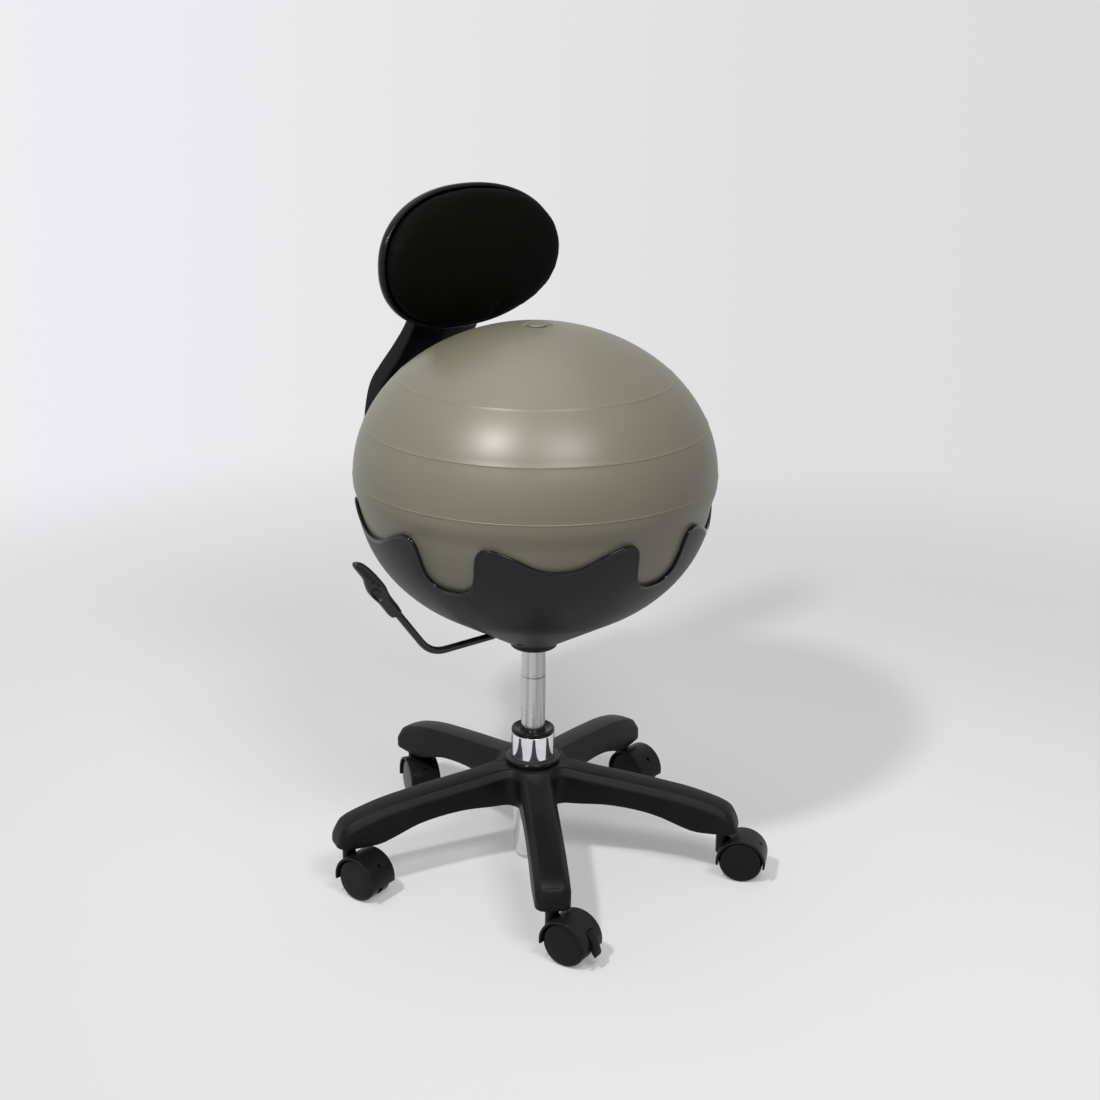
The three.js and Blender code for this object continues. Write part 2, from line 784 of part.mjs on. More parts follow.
function brakePedal() {
  const inner = hoodInner + gap * 2
  const shape = new THREE.Shape()
  const half = (pedalTopAngle + pedalLowAngle) / 2
  const points = [
    polarPoint(pedalTopAngle, inner), polarPoint(half, inner + pedalFlare / 2),
    polarPoint(pedalLowAngle, inner + pedalFlare),
    polarPoint(pedalLowAngle * 2, inner + pedalFlare + pedalToe),
    polarPoint(pedalLowAngle, inner + pedalFlare + pedalThickness + pedalToe / 2),
    polarPoint(half, inner + pedalFlare / 2 + pedalThickness),
    polarPoint(pedalTopAngle, inner + pedalThickness),
  ]
  shape.moveTo(...points[0])
  for (const point of points.slice(1)) shape.lineTo(...point)
  shape.closePath()
  const side = pedalWidth / 2
  return join(solid(plateXZ(shape, -side, side)), pedalPin(pedalBarrelRadius, side),
    pedalPin(pedalPinRadius, side + pedalPinReach))
}

// Bowl
// The angle, on a flattened round of given half axes, where a line from a point below touches it
function touchAngle(radius, depth, fromRadius, fromZ) {
  const u = fromRadius / radius
  const v = (fromZ - bowlCentre) / depth
  return Math.atan2(v, u) + Math.acos(1 / Math.hypot(u, v))
}

// The angles at which the bowl's wall and the ball both have a corner, so that they stay parallel
function roundAngles() {
  const leave = -radians(ballLeaveAngle)
  const end = Math.asin((rimTop + rimTopSpare - bowlCentre) / bowlDepth)
  const angles = []
  for (let k = 0; k <= ballLowSteps; k++) angles.push(leave + (end - leave) * k / ballLowSteps)
  return angles
}

function bowlWallPoints(inset, lowRadius, lowZ) {
  const radius = bowlRadius - inset
  const depth = bowlDepth - inset
  const start = touchAngle(radius, depth, lowRadius, lowZ)
  return [start, ...roundAngles()].map((angle) =>
    [radius * Math.cos(angle), bowlCentre + depth * Math.sin(angle)])
}

// The cone's slope and the unit vectors along and out of it, in radius and height
const coneTouch = bowlWallPoints(0, collarRadius, coneLow)[0]
const coneLength = Math.hypot(coneTouch[0] - collarRadius, coneTouch[1] - coneLow)
const coneAlong = [(coneTouch[0] - collarRadius) / coneLength, (coneTouch[1] - coneLow) / coneLength]
const coneOut = [coneAlong[1], -coneAlong[0]]
const collarInner = collarRadius - bowlWall
const coneInnerLow = coneLow + (bowlWall - (collarRadius - collarInner) * coneAlong[1]) / coneAlong[0]

function conePoint(share, out) {
  return [collarRadius + coneAlong[0] * coneLength * share + coneOut[0] * out,
    coneLow + coneAlong[1] * coneLength * share + coneOut[1] * out]
}

function rimHeight(share) {
  const curve = new THREE.CatmullRomCurve3(
    rimShares.map(([x, z]) => new THREE.Vector3(x, z, 0)), false, 'centripetal')
  return curve.getPoint(share)
}

function rimCutter() {
  const halfPitch = Math.PI / lobeCount
  const rings = []
  for (let half = 0; half < lobeCount * 2; half++) {
    for (let k = 0; k < rimStepsPerHalf; k++) {
      const rising = half % 2 === 0
      const share = rising ? k / rimStepsPerHalf : 1 - k / rimStepsPerHalf
      const point = rimHeight(share)
      const place = rising ? point.x : 1 - point.x + 1
      const lobe = Math.floor(half / 2)
      // The first lobe's middle lies at the back, opposite the notch at the front
      const angle = Math.PI / 2 + halfPitch * (2 * lobe + place)
      const z = rimFloor + rimRise * point.y
      rings.push([[bowlRadius - rimCutReach, z], [bowlRadius + rimCutReach, z],
        [bowlRadius + rimCutReach, rimTop + rimCutReach], [bowlRadius - rimCutReach, rimTop + rimCutReach]]
        .map(([r, h]) => new THREE.Vector3(r * Math.cos(angle), r * Math.sin(angle), h)))
    }
  }
  rings.push(rings[0])
  return skin(rings)
}

// A round post or hole square to the cone, on the chair's back side
function coneRod(share, radius, from, to) {
  const rod = cylinder(radius, from, to, smallFacets)
  rod.rotateX(Math.atan2(coneOut[0], -coneOut[1]))
  const [y, z] = conePoint(share, 0)
  rod.translate(0, y, z)
  return rod
}

function bowl() {
  const outer = bowlWallPoints(0, collarRadius, coneLow)
  const inner = bowlWallPoints(bowlWall, collarInner, coneInnerLow).reverse()
  const shell = revolve([[collarInner, seatLow], [collarRadius - collarRound, seatLow],
    [collarRadius, seatLow + collarRound], [collarRadius, coneLow], ...outer, ...inner,
    [collarInner, coneInnerLow]], bowlFacets)
  const posts = []
  const holes = []
  for (const x of [-plateScrewX, plateScrewX]) {
    for (const y of [-plateScrewY, plateScrewY]) {
      const reach = Math.hypot(x, y) - collarRadius
      const low = coneLow + reach * coneAlong[1] / coneAlong[0] + bowlWall / 2
      posts.push(solid(cylinder(plateBossRadius, low, plateUnder - gap, smallFacets).translate(x, y, 0)))
      holes.push(solid(cylinder(screwRadius + screwHoleGap, plateUnder - screwBite - gap * 2,
        plateUnder + overrun, smallFacets).translate(x, y, 0)))
    }
  }
  for (const share of beamScrewShares) {
    posts.push(solid(coneRod(share, plateBossRadius, bowlWall / 2, bowlWall + screwBite)))
    holes.push(solid(coneRod(share, screwRadius + screwHoleGap, -overrun, bowlWall + screwBite + overrun)))
  }
  // The lever's slot runs from where the cone's inner face is as high as the lever's knee to where
  // its outer face is as high as the pivot
  const perRise = coneAlong[0] / coneAlong[1]
  const kneeUnder = leverTipZ - leverKneeDrop - rodWireRadius
  const slotIn = collarRadius + (kneeUnder - coneLow - bowlWall / coneAlong[0]) * perRise + leverSlotInClear
  const slotOut = collarRadius + (pivotZ - coneLow) * perRise + leverSlotOutClear
  const leverSlot = box(-slotOut, -slotIn, -leverSlotHalf, leverSlotHalf, coneLow, leverTipZ)
  return cut(join(solid(shell), ...posts), solid(rimCutter()), solid(leverSlot), ...holes)
}

// Ball: the same outline for its outside and, moved in by the skin, for its inside
function ballOutline(inset, skip) {
  const radius = bowlRadius - bowlWall - ballSeatGap - inset
  const depth = bowlDepth - bowlWall - ballSeatGap - inset
  const low = ballUnder + inset
  const leave = -radians(ballLeaveAngle)
  const leaveR = radius * Math.cos(leave)
  const leaveZ = bowlCentre + depth * Math.sin(leave)
  const top = ballRise - inset
  const widest = ballRadius - inset
  const points = [[0, low]]
  for (const share of ballUnderShares.slice(skip - 1)) {
    points.push([leaveR * share, low + (leaveZ - low) * share ** ballFlatPower])
  }
  const angles = roundAngles().filter((_, k) => k % skip === ballLowSteps % skip || k === 0)
  for (const angle of angles) {
    points.push([radius * Math.cos(angle), bowlCentre + depth * Math.sin(angle)])
  }
  const [edge, edgeZ] = points[points.length - 1]
  for (let k = 1; k <= ballShoulderSteps; k++) {
    const share = k / ballShoulderSteps
    points.push([edge + (widest - edge) * Math.sin(share * Math.PI / 2),
      edgeZ + (ballCentre - edgeZ) * share])
  }
  for (let k = skip; k < ballTopSteps; k += skip) {
    const angle = Math.PI / 2 * k / ballTopSteps
    points.push([widest * Math.cos(angle), ballCentre + top * Math.sin(angle)])
  }
  return points
}

function ball() {
  const outer = ballOutline(0, 1)
  const inner = ballOutline(ballSkin, ballInnerSkip).reverse()
  return revolve([...outer, [dimpleRadius + dimpleSide, ballTop], [dimpleRadius, ballTop - dimpleDepth],
    [valveRadius + gap, ballTop - dimpleDepth], [valveRadius + gap, ballTop - dimpleDepth - ballSkin],
    ...inner], bowlFacets)
}

function valvePlug() {
  const seat = ballTop - dimpleDepth + gap
  return revolve([[0, seat - plugShank], [valveRadius - gap, seat - plugShank],
    [valveRadius, seat - plugShank / 2], [valveRadius, seat], [plugRadius, seat],
    [plugRadius, seat + plugHeight - plugRound], [plugRadius - plugRound, seat + plugHeight],
    [0, seat + plugHeight]], smallFacets)
}

// Mechanism plate with the taper socket and the lever's two ears
function mechanismPlate() {
  const [w, h, r] = [plateHalfX, plateHalfY, plateCorner]
  const outline = new THREE.Shape()
  outline.absarc(w - r, h - r, r, 0, Math.PI / 2, false)
  outline.absarc(r - w, h - r, r, Math.PI / 2, Math.PI, false)
  outline.absarc(r - w, r - h, r, Math.PI, Math.PI * 1.5, false)
  outline.absarc(w - r, r - h, r, Math.PI * 1.5, Math.PI * 2, false)
  outline.closePath()
  const screwHoles = []
  for (const x of [-plateScrewX, plateScrewX]) {
    for (const y of [-plateScrewY, plateScrewY]) {
      screwHoles.push(solid(cylinder(screwRadius + screwHoleGap, plateUnder - overrun, plateTop + overrun,
        smallFacets).translate(x, y, 0)))
    }
  }
  const sheet = new THREE.ExtrudeGeometry(outline, {
    depth: plateThickness, bevelEnabled: false, curveSegments: 6,
  })
  sheet.translate(0, 0, plateUnder)
  const socketLow = seatLow + socketRise
  const tube = cylinder(socketRadius, socketLow, plateTop)
  const bore = revolve([[0, socketLow - overrun], [cylinderRadius + gap, socketLow - overrun],
    [cylinderRadius + gap, socketLow], [taperTopRadius + gap * 2, plateTop],
    [taperTopRadius + gap * 2, plateTop + overrun], [0, plateTop + overrun]], roundFacets)
  const slot = box(-plateHalfX - overrun, -plateSlotStart, -plateSlotHalf, plateSlotHalf,
    plateUnder - overrun, plateTop + overrun)
  const ears = []
  for (const side of [-1, 1]) {
    const ear = new THREE.Shape()
    ear.moveTo(-pivotX + earHalf, plateTop - plateThickness / 2)
    ear.absarc(-pivotX, pivotZ, earCrown, 0, Math.PI, false)
    ear.lineTo(-pivotX - earHalf, plateTop - plateThickness / 2)
    ear.closePath()
    const near = side > 0 ? earInner : -earInner - earThickness
    ears.push(solid(plateXZ(ear, near, near + earThickness, 6)))
  }
  const pinHole = new THREE.Shape()
  pinHole.absarc(-pivotX, pivotZ, pivotPinRadius + gap, 0, 2 * Math.PI, false)
  const across = earInner + earThickness + overrun
  const body = join(cut(solid(sheet).add(solid(tube)), solid(bore), solid(slot), ...screwHoles), ...ears)
  return cut(body, solid(plateXZ(pinHole, -across, across, 6)))
}

function pivotPin() {
  const half = earInner + earThickness + gap
  const pin = revolve([[0, -half - pivotHeadHeight], [pivotHeadRadius, -half - pivotHeadHeight],
    [pivotHeadRadius, -half], [pivotPinRadius, -half], [pivotPinRadius, half],
    [pivotHeadRadius, half], [pivotHeadRadius, half + pivotHeadHeight], [0, half + pivotHeadHeight]],
  smallFacets)
  pin.rotateX(Math.PI / 2)
  pin.translate(-pivotX, 0, pivotZ)
  return pin
}

// A path of straight runs with its corners rounded off, in X and Z
function roundedRun(points, radii) {
  const run = new THREE.CurvePath()
  let from = points[0]
  for (let k = 1; k < points.length - 1; k++) {
    const back = points[k - 1].clone().sub(points[k]).normalize()
    const ahead = points[k + 1].clone().sub(points[k]).normalize()
    const turn = Math.PI - back.angleTo(ahead)
    const reach = radii[k - 1] * Math.tan(turn / 2)
    const start = points[k].clone().addScaledVector(back, reach)
    const end = points[k].clone().addScaledVector(ahead, reach)
    run.add(new THREE.LineCurve3(from, start))
    run.add(new THREE.QuadraticBezierCurve3(start, points[k], end))
    from = end
  }
  run.add(new THREE.LineCurve3(from, points[points.length - 1]))
  return run
}

// The lever's bend and end follow the bowl's widest round
const leverEnd = new THREE.Vector3(-bowlRadius - leverEndOut, 0, leverTipZ + leverEndRise)
const leverBend = new THREE.Vector3(leverBendInset - bowlRadius, 0, leverTipZ - leverBendDrop)
const gripAlong = leverEnd.clone().sub(leverBend).normalize()
const gripAxis = gripAlong.clone().applyAxisAngle(new THREE.Vector3(0, 1, 0), radians(gripTurn))

function leverRod() {
  const section = new THREE.Shape()
  section.absarc(0, 0, rodWireRadius, 0, 2 * Math.PI, false)
  const knee = new THREE.Vector3(-leverKneeX, 0, leverTipZ - leverKneeDrop)
  const run = roundedRun([
    new THREE.Vector3(leverTouch, 0, leverTipZ), new THREE.Vector3(-leverTipFlat, 0, leverTipZ),
    knee, leverBend, leverEnd.clone().addScaledVector(gripAlong, leverInGrip),
  ], [leverKneeRadius, leverKneeRadius, leverBendRadius])
  const rod = new THREE.ExtrudeGeometry(section, {
    steps: 20, extrudePath: run, bevelEnabled: false, curveSegments: rodFacets / 2,
  })
  const eye = new THREE.Shape()
  eye.absarc(-pivotX, pivotZ, pivotEyeRadius, 0, 2 * Math.PI, false)
  const hole = new THREE.Shape()
  hole.absarc(-pivotX, pivotZ, pivotPinRadius + gap, 0, 2 * Math.PI, false)
  return cut(join(solid(rod), solid(plateXZ(eye, -pivotEyeHalf, pivotEyeHalf, 8))),
    solid(plateXZ(hole, -pivotEyeHalf - overrun, pivotEyeHalf + overrun, 8)))
}

// The grip is drawn along the rod's end run: first along it, then across it
function gripPoint(alongShare, acrossShare) {
  const s = gripLength * alongShare
  const t = gripWidth * acrossShare
  return new THREE.Vector2(leverEnd.x + gripAxis.x * s + gripAxis.z * t,
    leverEnd.z + gripAxis.z * s - gripAxis.x * t)
}

function leverGrip() {
  const outline = new THREE.Shape(gripOutlineShares.map(([s, t]) => gripPoint(s, t)))
  const block = new THREE.ExtrudeGeometry(outline, {
    depth: gripThickness - gripBevel * 2, bevelThickness: gripBevel, bevelSize: gripBevel,
    bevelOffset: -gripBevel, bevelSegments: 1, curveSegments: 1,
  })
  block.rotateX(Math.PI / 2)
  block.translate(0, gripThickness / 2 - gripBevel, 0)
  const turn = Math.atan2(gripAxis.z, gripAxis.x)
  const rodTurn = Math.atan2(gripAlong.z, gripAlong.x)
  const cuts = gripSlotShares.map(([start, end, place]) => {
    const from = gripPoint(start, place)
    const to = gripPoint(end, place)
    const groove = box(0, from.distanceTo(to), -gripThickness / 2 - overrun,
      gripSlotDepth - gripThickness / 2, -gripSlotHalf, gripSlotHalf)
    groove.rotateY(-turn)
    groove.translate(from.x, 0, from.y)
    return solid(groove)
  })
  const dish = new THREE.SphereGeometry(gripDishRadius, 16, 10)
  const dishAt = gripPoint(...gripDishShares)
  dish.translate(dishAt.x, -gripThickness / 2 - gripDishRadius + gripDishDepth, dishAt.y)
  const socket = cylinder(rodWireRadius + gap, -overrun - gripLength, leverInGrip + gap, rodFacets)
  socket.rotateY(Math.PI / 2 - rodTurn)
  socket.translate(leverEnd.x, 0, leverEnd.z)
  return cut(solid(block), ...cuts, solid(dish), solid(socket))
}

// Back support beam: places on its front face from the top down, with thickness and half width
function beamStations() {
  const rise = padCentreZ - ballCentre
  const backY = padCentreY + shellBack + beamSeatGap
  const topZ = padCentreZ + shellScrewZ + beamThickness
  const stations = [
    { y: backY, z: topZ, thick: beamTopThickness, half: beamHalfWidth - beamLeanClear },
    { y: backY, z: padCentreZ, thick: beamTopThickness, half: beamHalfWidth },
    { y: backY, z: padCentreZ - shellHalfHeight / 2, thick: beamTopThickness,
      half: beamHalfWidth },
  ]
  for (const [back, up, thick] of beamUpperShares) {
    stations.push({ y: ballRadius * back, z: ballCentre + rise * up, thick: beamThickness * thick,
      half: beamHalfWidth })
  }
  for (const [angle, clear, width] of beamLowerShares) {
    const out = beamEquatorGap * clear
    stations.push({ y: (bowlRadius + out) * Math.cos(radians(angle)),
      z: bowlCentre - (bowlDepth + out) * Math.sin(radians(angle)),
      thick: beamThickness * (1 + clear) / 2, half: beamHalfWidth * width })
  }
  for (const share of beamFootShares) {
    const [y, z] = conePoint(share, beamSeatGap)
    stations.push({ y, z, thick: beamFootThickness, half: beamFootHalfWidth })
  }
  return stations
}

function beamFrames() {
  const stations = beamStations()
  return stations.map((station, k) => {
    const before = stations[Math.max(k - 1, 0)]
    const after = stations[Math.min(k + 1, stations.length - 1)]
    const length = Math.hypot(after.y - before.y, after.z - before.z)
    // Square to the run, away from the ball
    const out = [-(after.z - before.z) / length, (after.y - before.y) / length]
    return { ...station, out }
  })
}

function beamRing(frame, low, high, left, right) {
  const [outY, outZ] = frame.out
  const at = (x, depth) => new THREE.Vector3(x, frame.y + outY * depth, frame.z + outZ * depth)
  return [at(left, low), at(right, low), at(right, high), at(left, high)]
}

function backSupport() {
  const frames = beamFrames()
  const body = solid(loft(frames.map((f) => beamRing(f, 0, f.thick, -f.half, f.half))))
  const cuts = []
  const bays = [[0, 2], [2, 5], [5, 8], [8, 10]]
  for (const [from, to] of bays) {
    for (const column of [-1, 0, 1]) {
      const run = frames.slice(from, to + 1).map((f, k, all) => {
        // Stop short of each bay's ends, so that a rib crosses the beam there
        const mate = k === 0 ? all[1] : k === all.length - 1 ? all[k - 1] : f
        const span = Math.hypot(mate.y - f.y, mate.z - f.z)
        const share = span > 0 ? beamRib / span : 0
        const y = f.y + (mate.y - f.y) * share
        const z = f.z + (mate.z - f.z) * share
        const usable = 2 * (f.half - beamWeb) / 3
        const centre = column * usable
        return beamRing({ ...f, y, z }, beamWeb, f.thick + overrun,
          centre - usable / 2 + beamRib / 2, centre + usable / 2 - beamRib / 2)
      })
      cuts.push(solid(loft(run)))
    }
  }
  for (const share of beamScrewShares) {
    cuts.push(solid(coneRod(share, screwRadius + screwHoleGap, -beamFootThickness - overrun * 2, overrun)))
  }
  for (const [x, z] of shellScrewPlaces()) {
    cuts.push(solid(alongY(screwRadius + screwHoleGap, x, z, 0, beamThickness)))
  }
  return cut(body, ...cuts)
}

function shellScrewPlaces() {
  const places = []
  for (const x of [-shellScrewX, shellScrewX]) {
    for (const z of [-shellScrewZ, shellScrewZ]) places.push([x, padCentreZ + z])
  }
  return places
}

// A rod along Y, measured backwards from the shell's back face
function alongY(radius, x, z, from, to) {
  const rod = cylinder(radius, from, to, smallFacets)
  rod.rotateX(-Math.PI / 2)
  rod.translate(x, padCentreY + shellBack, z)
  return rod
}

// Backrest: rounded outlines about the pad's centre, curved round the sitter's back
function backRing(inset, depth, scale = 1) {
  const points = []
  for (let k = 0; k < outlinePoints; k++) {
    const angle = 2 * Math.PI * k / outlinePoints
    const c = Math.cos(angle)
    const s = Math.sin(angle)
    const x = scale * (shellHalfWidth - inset) * Math.sign(c) * Math.abs(c) ** (2 / shellPower)
    const z = scale * (shellHalfHeight - inset) * Math.sign(s) * Math.abs(s) ** (2 / shellPower)
    points.push(backPoint(x, depth, z))
  }
  return points
}

function backPoint(x, depth, z) {
  return new THREE.Vector3(x, padCentreY + depth - x * x / (2 * shellCurveRadius), padCentreZ + z)
}

function backrestShell() {
  const wall = shellLipWall
  const shell = skin([
    [backPoint(0, shellBack, 0)], backRing(0, shellBack, 0.4), backRing(0, shellBack, 0.72),
    backRing(0, shellBack * 0.86, 0.9), backRing(shellRoll, shellBack / 2), backRing(0, shellRoll / 2),
    backRing(0, -shellLip + shellRoll / 2), backRing(shellRoll / 2, -shellLip), backRing(wall, -shellLip),
    backRing(wall + gap, shellFloor / 4), backRing(wall, shellFloor, 0.88), backRing(wall, shellFloor, 0.4),
    [backPoint(0, shellFloor, 0)],
  ])
  const holes = shellScrewPlaces().map(([x, z]) =>
    solid(alongY(screwRadius + screwHoleGap, x, z, -shellBack, overrun)))
  return cut(solid(shell), ...holes)
}

function backrestPad() {
  const foot = padFoot
  const rings = [
    [backPoint(0, shellFloor - padSeatGap, 0)], backRing(foot, shellFloor - padSeatGap, 0.4),
    backRing(foot, shellFloor - padSeatGap, 0.86), backRing(foot, shellFloor / 4 - padSeatGap),
    backRing(foot, -shellLip - padSeatGap),
  ]
  for (const [rise, width] of padCrownShares) {
    rings.push(backRing(padInset, -shellLip - (padProud - shellLip) * rise, width))
  }
  rings.push(backRing(padInset, -padProud, 0.2), [backPoint(0, -padProud, 0)])
  return skin(rings)
}

// A pan head screw along Z: its head from z = 0 up, its shank below
function screw(shank) {
  return revolve([[0, -shank], [screwRadius, -shank], [screwRadius, 0], [screwHeadRadius, 0],
    [screwRadius + screwHeadRadius / 3, screwHeadHeight], [0, screwHeadHeight]], smallFacets)
}

// Scene
const chair = new THREE.Group()
const column = new THREE.Group()
chair.add(column)

piece('star_base', starBase(), finish.nylon, column)
piece('hub_ring', revolve([[tubeRadius + gap, hubTop + gap], [ringRadius, hubTop + gap],
  [ringRadius, hubTop + gap + ringHeight * 0.7], [ringRadius - ringHeight / 4, hubTop + gap + ringHeight],
  [tubeRadius + gap, hubTop + gap + ringHeight]], roundFacets), finish.gloss, column)
piece('outer_tube', outerTube(), finish.chrome, column)
piece('guide_bush', guideBush(), finish.nylon, column)
piece('piston_rod', pistonRod(), finish.steel, column)
piece('rod_clip', rodClip(), finish.steel, column)
piece('thrust_bearing', thrustBearing(), finish.steel, column)
piece('bumper', bumper(), finish.rubber, column)
piece('gas_cylinder', gasCylinder(), finish.chrome, column)
piece('rod_guide', rodGuide(), finish.nylon, column)
piece('release_pin', releasePin(), finish.steel, column)
piece('mechanism_plate', mechanismPlate(), finish.steel, column)
piece('lever_pivot_pin', pivotPin(), finish.steel, column)
piece('lever_rod', leverRod(), finish.nylon, column)
piece('lever_grip', leverGrip(), finish.nylon, column)
piece('bowl', bowl(), finish.bowl, column)
piece('ball', ball(), finish.ball, column)
piece('valve_plug', valvePlug(), finish.ball, column)
piece('back_support', backSupport(), finish.nylon, column)
piece('backrest_shell', backrestShell(), finish.gloss, column)
piece('backrest_pad', backrestPad(), finish.fabric, column)

let plateScrew = 0
for (const x of [-plateScrewX, plateScrewX]) {
  for (const y of [-plateScrewY, plateScrewY]) {
    plateScrew += 1
    const shape = screw(plateThickness + screwBite)
    const fastener = piece(`plate_screw_${plateScrew}`, shape, finish.steel, column)
    fastener.position.set(x, y, plateTop + gap)
  }
}

beamScrewShares.forEach((share, k) => {
  const out = beamSeatGap + beamFootThickness + gap
  const shape = screw(out + bowlWall + screwBite - gap)
  const fastener = piece(`support_screw_${k + 1}`, shape, finish.steel, column)
  const [y, z] = conePoint(share, out)
  fastener.position.set(0, y, z)
  fastener.rotation.x = Math.atan2(-coneOut[0], coneOut[1])
})

shellScrewPlaces().forEach(([x, z], k) => {
  const fastener = piece(`shell_screw_${k + 1}`, screw(beamSeatGap + beamWeb + gap + shellScrewBite),
    finish.steel, column)
  fastener.position.set(x, padCentreY + shellBack + beamSeatGap + beamWeb + gap, z)
  fastener.rotation.x = -Math.PI / 2
})

for (let k = 0; k < casterCount; k++) {
  const heading = armsStart + 360 * k / casterCount
  const stand = new THREE.Group()
  stand.position.set(stemPlace * Math.sin(radians(heading)), -stemPlace * Math.cos(radians(heading)), 0)
  stand.rotation.z = turnTo(trailHeadings[k])
  column.add(stand)
  const number = k + 1
  piece(`caster_stem_${number}`, casterStem(), finish.steel, stand)
  piece(`caster_hood_${number}`, hood(k === 0), finish.nylon, stand)
  piece(`caster_axle_${number}`, axle(), finish.steel, stand)
  piece(`wheel_left_${number}`, wheel(1), finish.gloss, stand)
  piece(`wheel_right_${number}`, wheel(-1), finish.gloss, stand)
  if (k === 0) piece('brake_pedal', brakePedal(), finish.nylon, stand)
}

// The arms of the base point the same way as the stems
const base = column.children.find((child) => child.name === 'star_base')
base.rotation.z = turnTo(armsStart)

// The middle of the bounding box stands over the origin
chair.updateMatrixWorld(true)
const bounds = new THREE.Box3().setFromObject(chair, true)
column.position.set(-(bounds.min.x + bounds.max.x) / 2, -(bounds.min.y + bounds.max.y) / 2, 0)

export default chair
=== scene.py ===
"""Balance ball chair: its visible pieces, finishes, light and camera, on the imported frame.

Sizes are written in millimetres about the lift's axis, and the last step of each piece puts it
in the frame, in metres. The sitter faces -Y.
"""
import math

import bmesh
import bpy
import numpy as np
from mathutils import Matrix, Vector


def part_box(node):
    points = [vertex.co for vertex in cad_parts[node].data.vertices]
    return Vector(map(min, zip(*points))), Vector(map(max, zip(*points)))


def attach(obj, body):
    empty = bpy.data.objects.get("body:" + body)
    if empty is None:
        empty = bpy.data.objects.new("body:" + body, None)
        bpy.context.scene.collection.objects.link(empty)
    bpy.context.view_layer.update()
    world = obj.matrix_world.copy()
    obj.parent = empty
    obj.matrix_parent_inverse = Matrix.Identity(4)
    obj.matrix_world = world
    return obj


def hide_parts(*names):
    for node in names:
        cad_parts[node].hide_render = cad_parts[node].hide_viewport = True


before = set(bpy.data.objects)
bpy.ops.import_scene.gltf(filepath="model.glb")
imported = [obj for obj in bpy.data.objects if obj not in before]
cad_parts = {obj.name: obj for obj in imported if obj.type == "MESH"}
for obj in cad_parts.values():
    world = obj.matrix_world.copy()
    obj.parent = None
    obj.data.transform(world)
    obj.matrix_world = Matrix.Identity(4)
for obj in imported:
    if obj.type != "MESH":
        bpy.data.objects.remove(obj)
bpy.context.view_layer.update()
scene = bpy.context.scene
TAU = 2 * math.pi
MM = 0.001
PLAIN = Matrix.Identity(4)

# The lift's axis in the frame, from the CAD tube's box
tube_low, tube_high = (np.array(corner) * 1000 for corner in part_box("outer_tube"))
AXIS_X, AXIS_Y = (tube_low + tube_high)[:2] / 2
COLUMN = Matrix.Translation((AXIS_X, AXIS_Y, 0))


# Shapes: a shape is (points, faces) in millimetres
def mesh_piece(name, shape, smooth=40, at=COLUMN, marks=None):
    """A mesh object from a shape, placed in the frame and smooth up to an angle.

    marks gives each point a share that the piece's finish can read."""
    points, faces = shape
    mesh = bpy.data.meshes.new(name)
    mesh.from_pydata([tuple((at @ Vector(p)) * MM) for p in points], [], [tuple(f) for f in faces])
    if marks:
        mesh.attributes.new("mark", "FLOAT", "POINT").data.foreach_set("value", marks)
    mesh.validate()
    work = bmesh.new()
    work.from_mesh(mesh)
    bmesh.ops.remove_doubles(work, verts=work.verts, dist=2e-6)
    bmesh.ops.dissolve_degenerate(work, edges=work.edges, dist=1e-7)
    bmesh.ops.recalc_face_normals(work, faces=work.faces)
    work.to_mesh(mesh)
    work.free()
    shade(mesh, smooth)
    return new_object(name, mesh)


def new_object(name, data):
    """An object in the scene that holds some data."""
    made = bpy.data.objects.new(name, data)
    scene.collection.objects.link(made)
    return made


def shade(mesh, angle):
    """Smooth shading, with sharp edges where faces meet at more than an angle."""
    mesh.polygons.foreach_set("use_smooth", [True] * len(mesh.polygons))
    if angle < 180:
        mesh.set_sharp_from_angle(angle=math.radians(angle))
    mesh.update()


def hand_in(piece, body, slot, material, *nodes):
    """Gives a finished piece its material, the body it moves with and the CAD pieces it stands for."""
    piece.data.materials.clear()
    piece.data.materials.append(material)
    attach(piece, body)
    if nodes:
        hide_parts(*nodes)


def finish_modifiers(piece):
    """Turns a piece and its live modifiers into a plain mesh."""
    graph = bpy.context.evaluated_depsgraph_get()
    made = bpy.data.meshes.new_from_object(piece.evaluated_get(graph))
    piece.modifiers.clear()
    old = piece.data
    piece.data = made
    bpy.data.meshes.remove(old)


def merge(piece, other, operation="UNION"):
    """Joins another object to a piece, or cuts it out, and removes the other."""
    joining = piece.modifiers.new("join", "BOOLEAN")
    joining.operation = operation
    joining.solver = "EXACT"
    joining.object = other
    finish_modifiers(piece)
    bpy.data.objects.remove(other)


def add(piece, shape, at=PLAIN):
    merge(piece, mesh_piece("other", shape, at=at))


def cut(piece, shape, at=PLAIN):
    merge(piece, mesh_piece("other", shape, at=at), "DIFFERENCE")


def join_shapes(*shapes):
    """Several shapes as one."""
    points, faces = [], []
    for some_points, some_faces in shapes:
        start = len(points)
        points += [tuple(p) for p in some_points]
        faces += [tuple(i + start for i in face) for face in some_faces]
    return points, faces


def moved(shape, matrix):
    points, faces = shape
    return [tuple(matrix @ Vector(p)) for p in points], faces


def quads(faces, ring, following, close=True):
    """Quads between two rings of point numbers."""
    for k in range(len(ring) if close else len(ring) - 1):
        k2 = (k + 1) % len(ring)
        faces.append((ring[k], ring[k2], following[k2], following[k]))


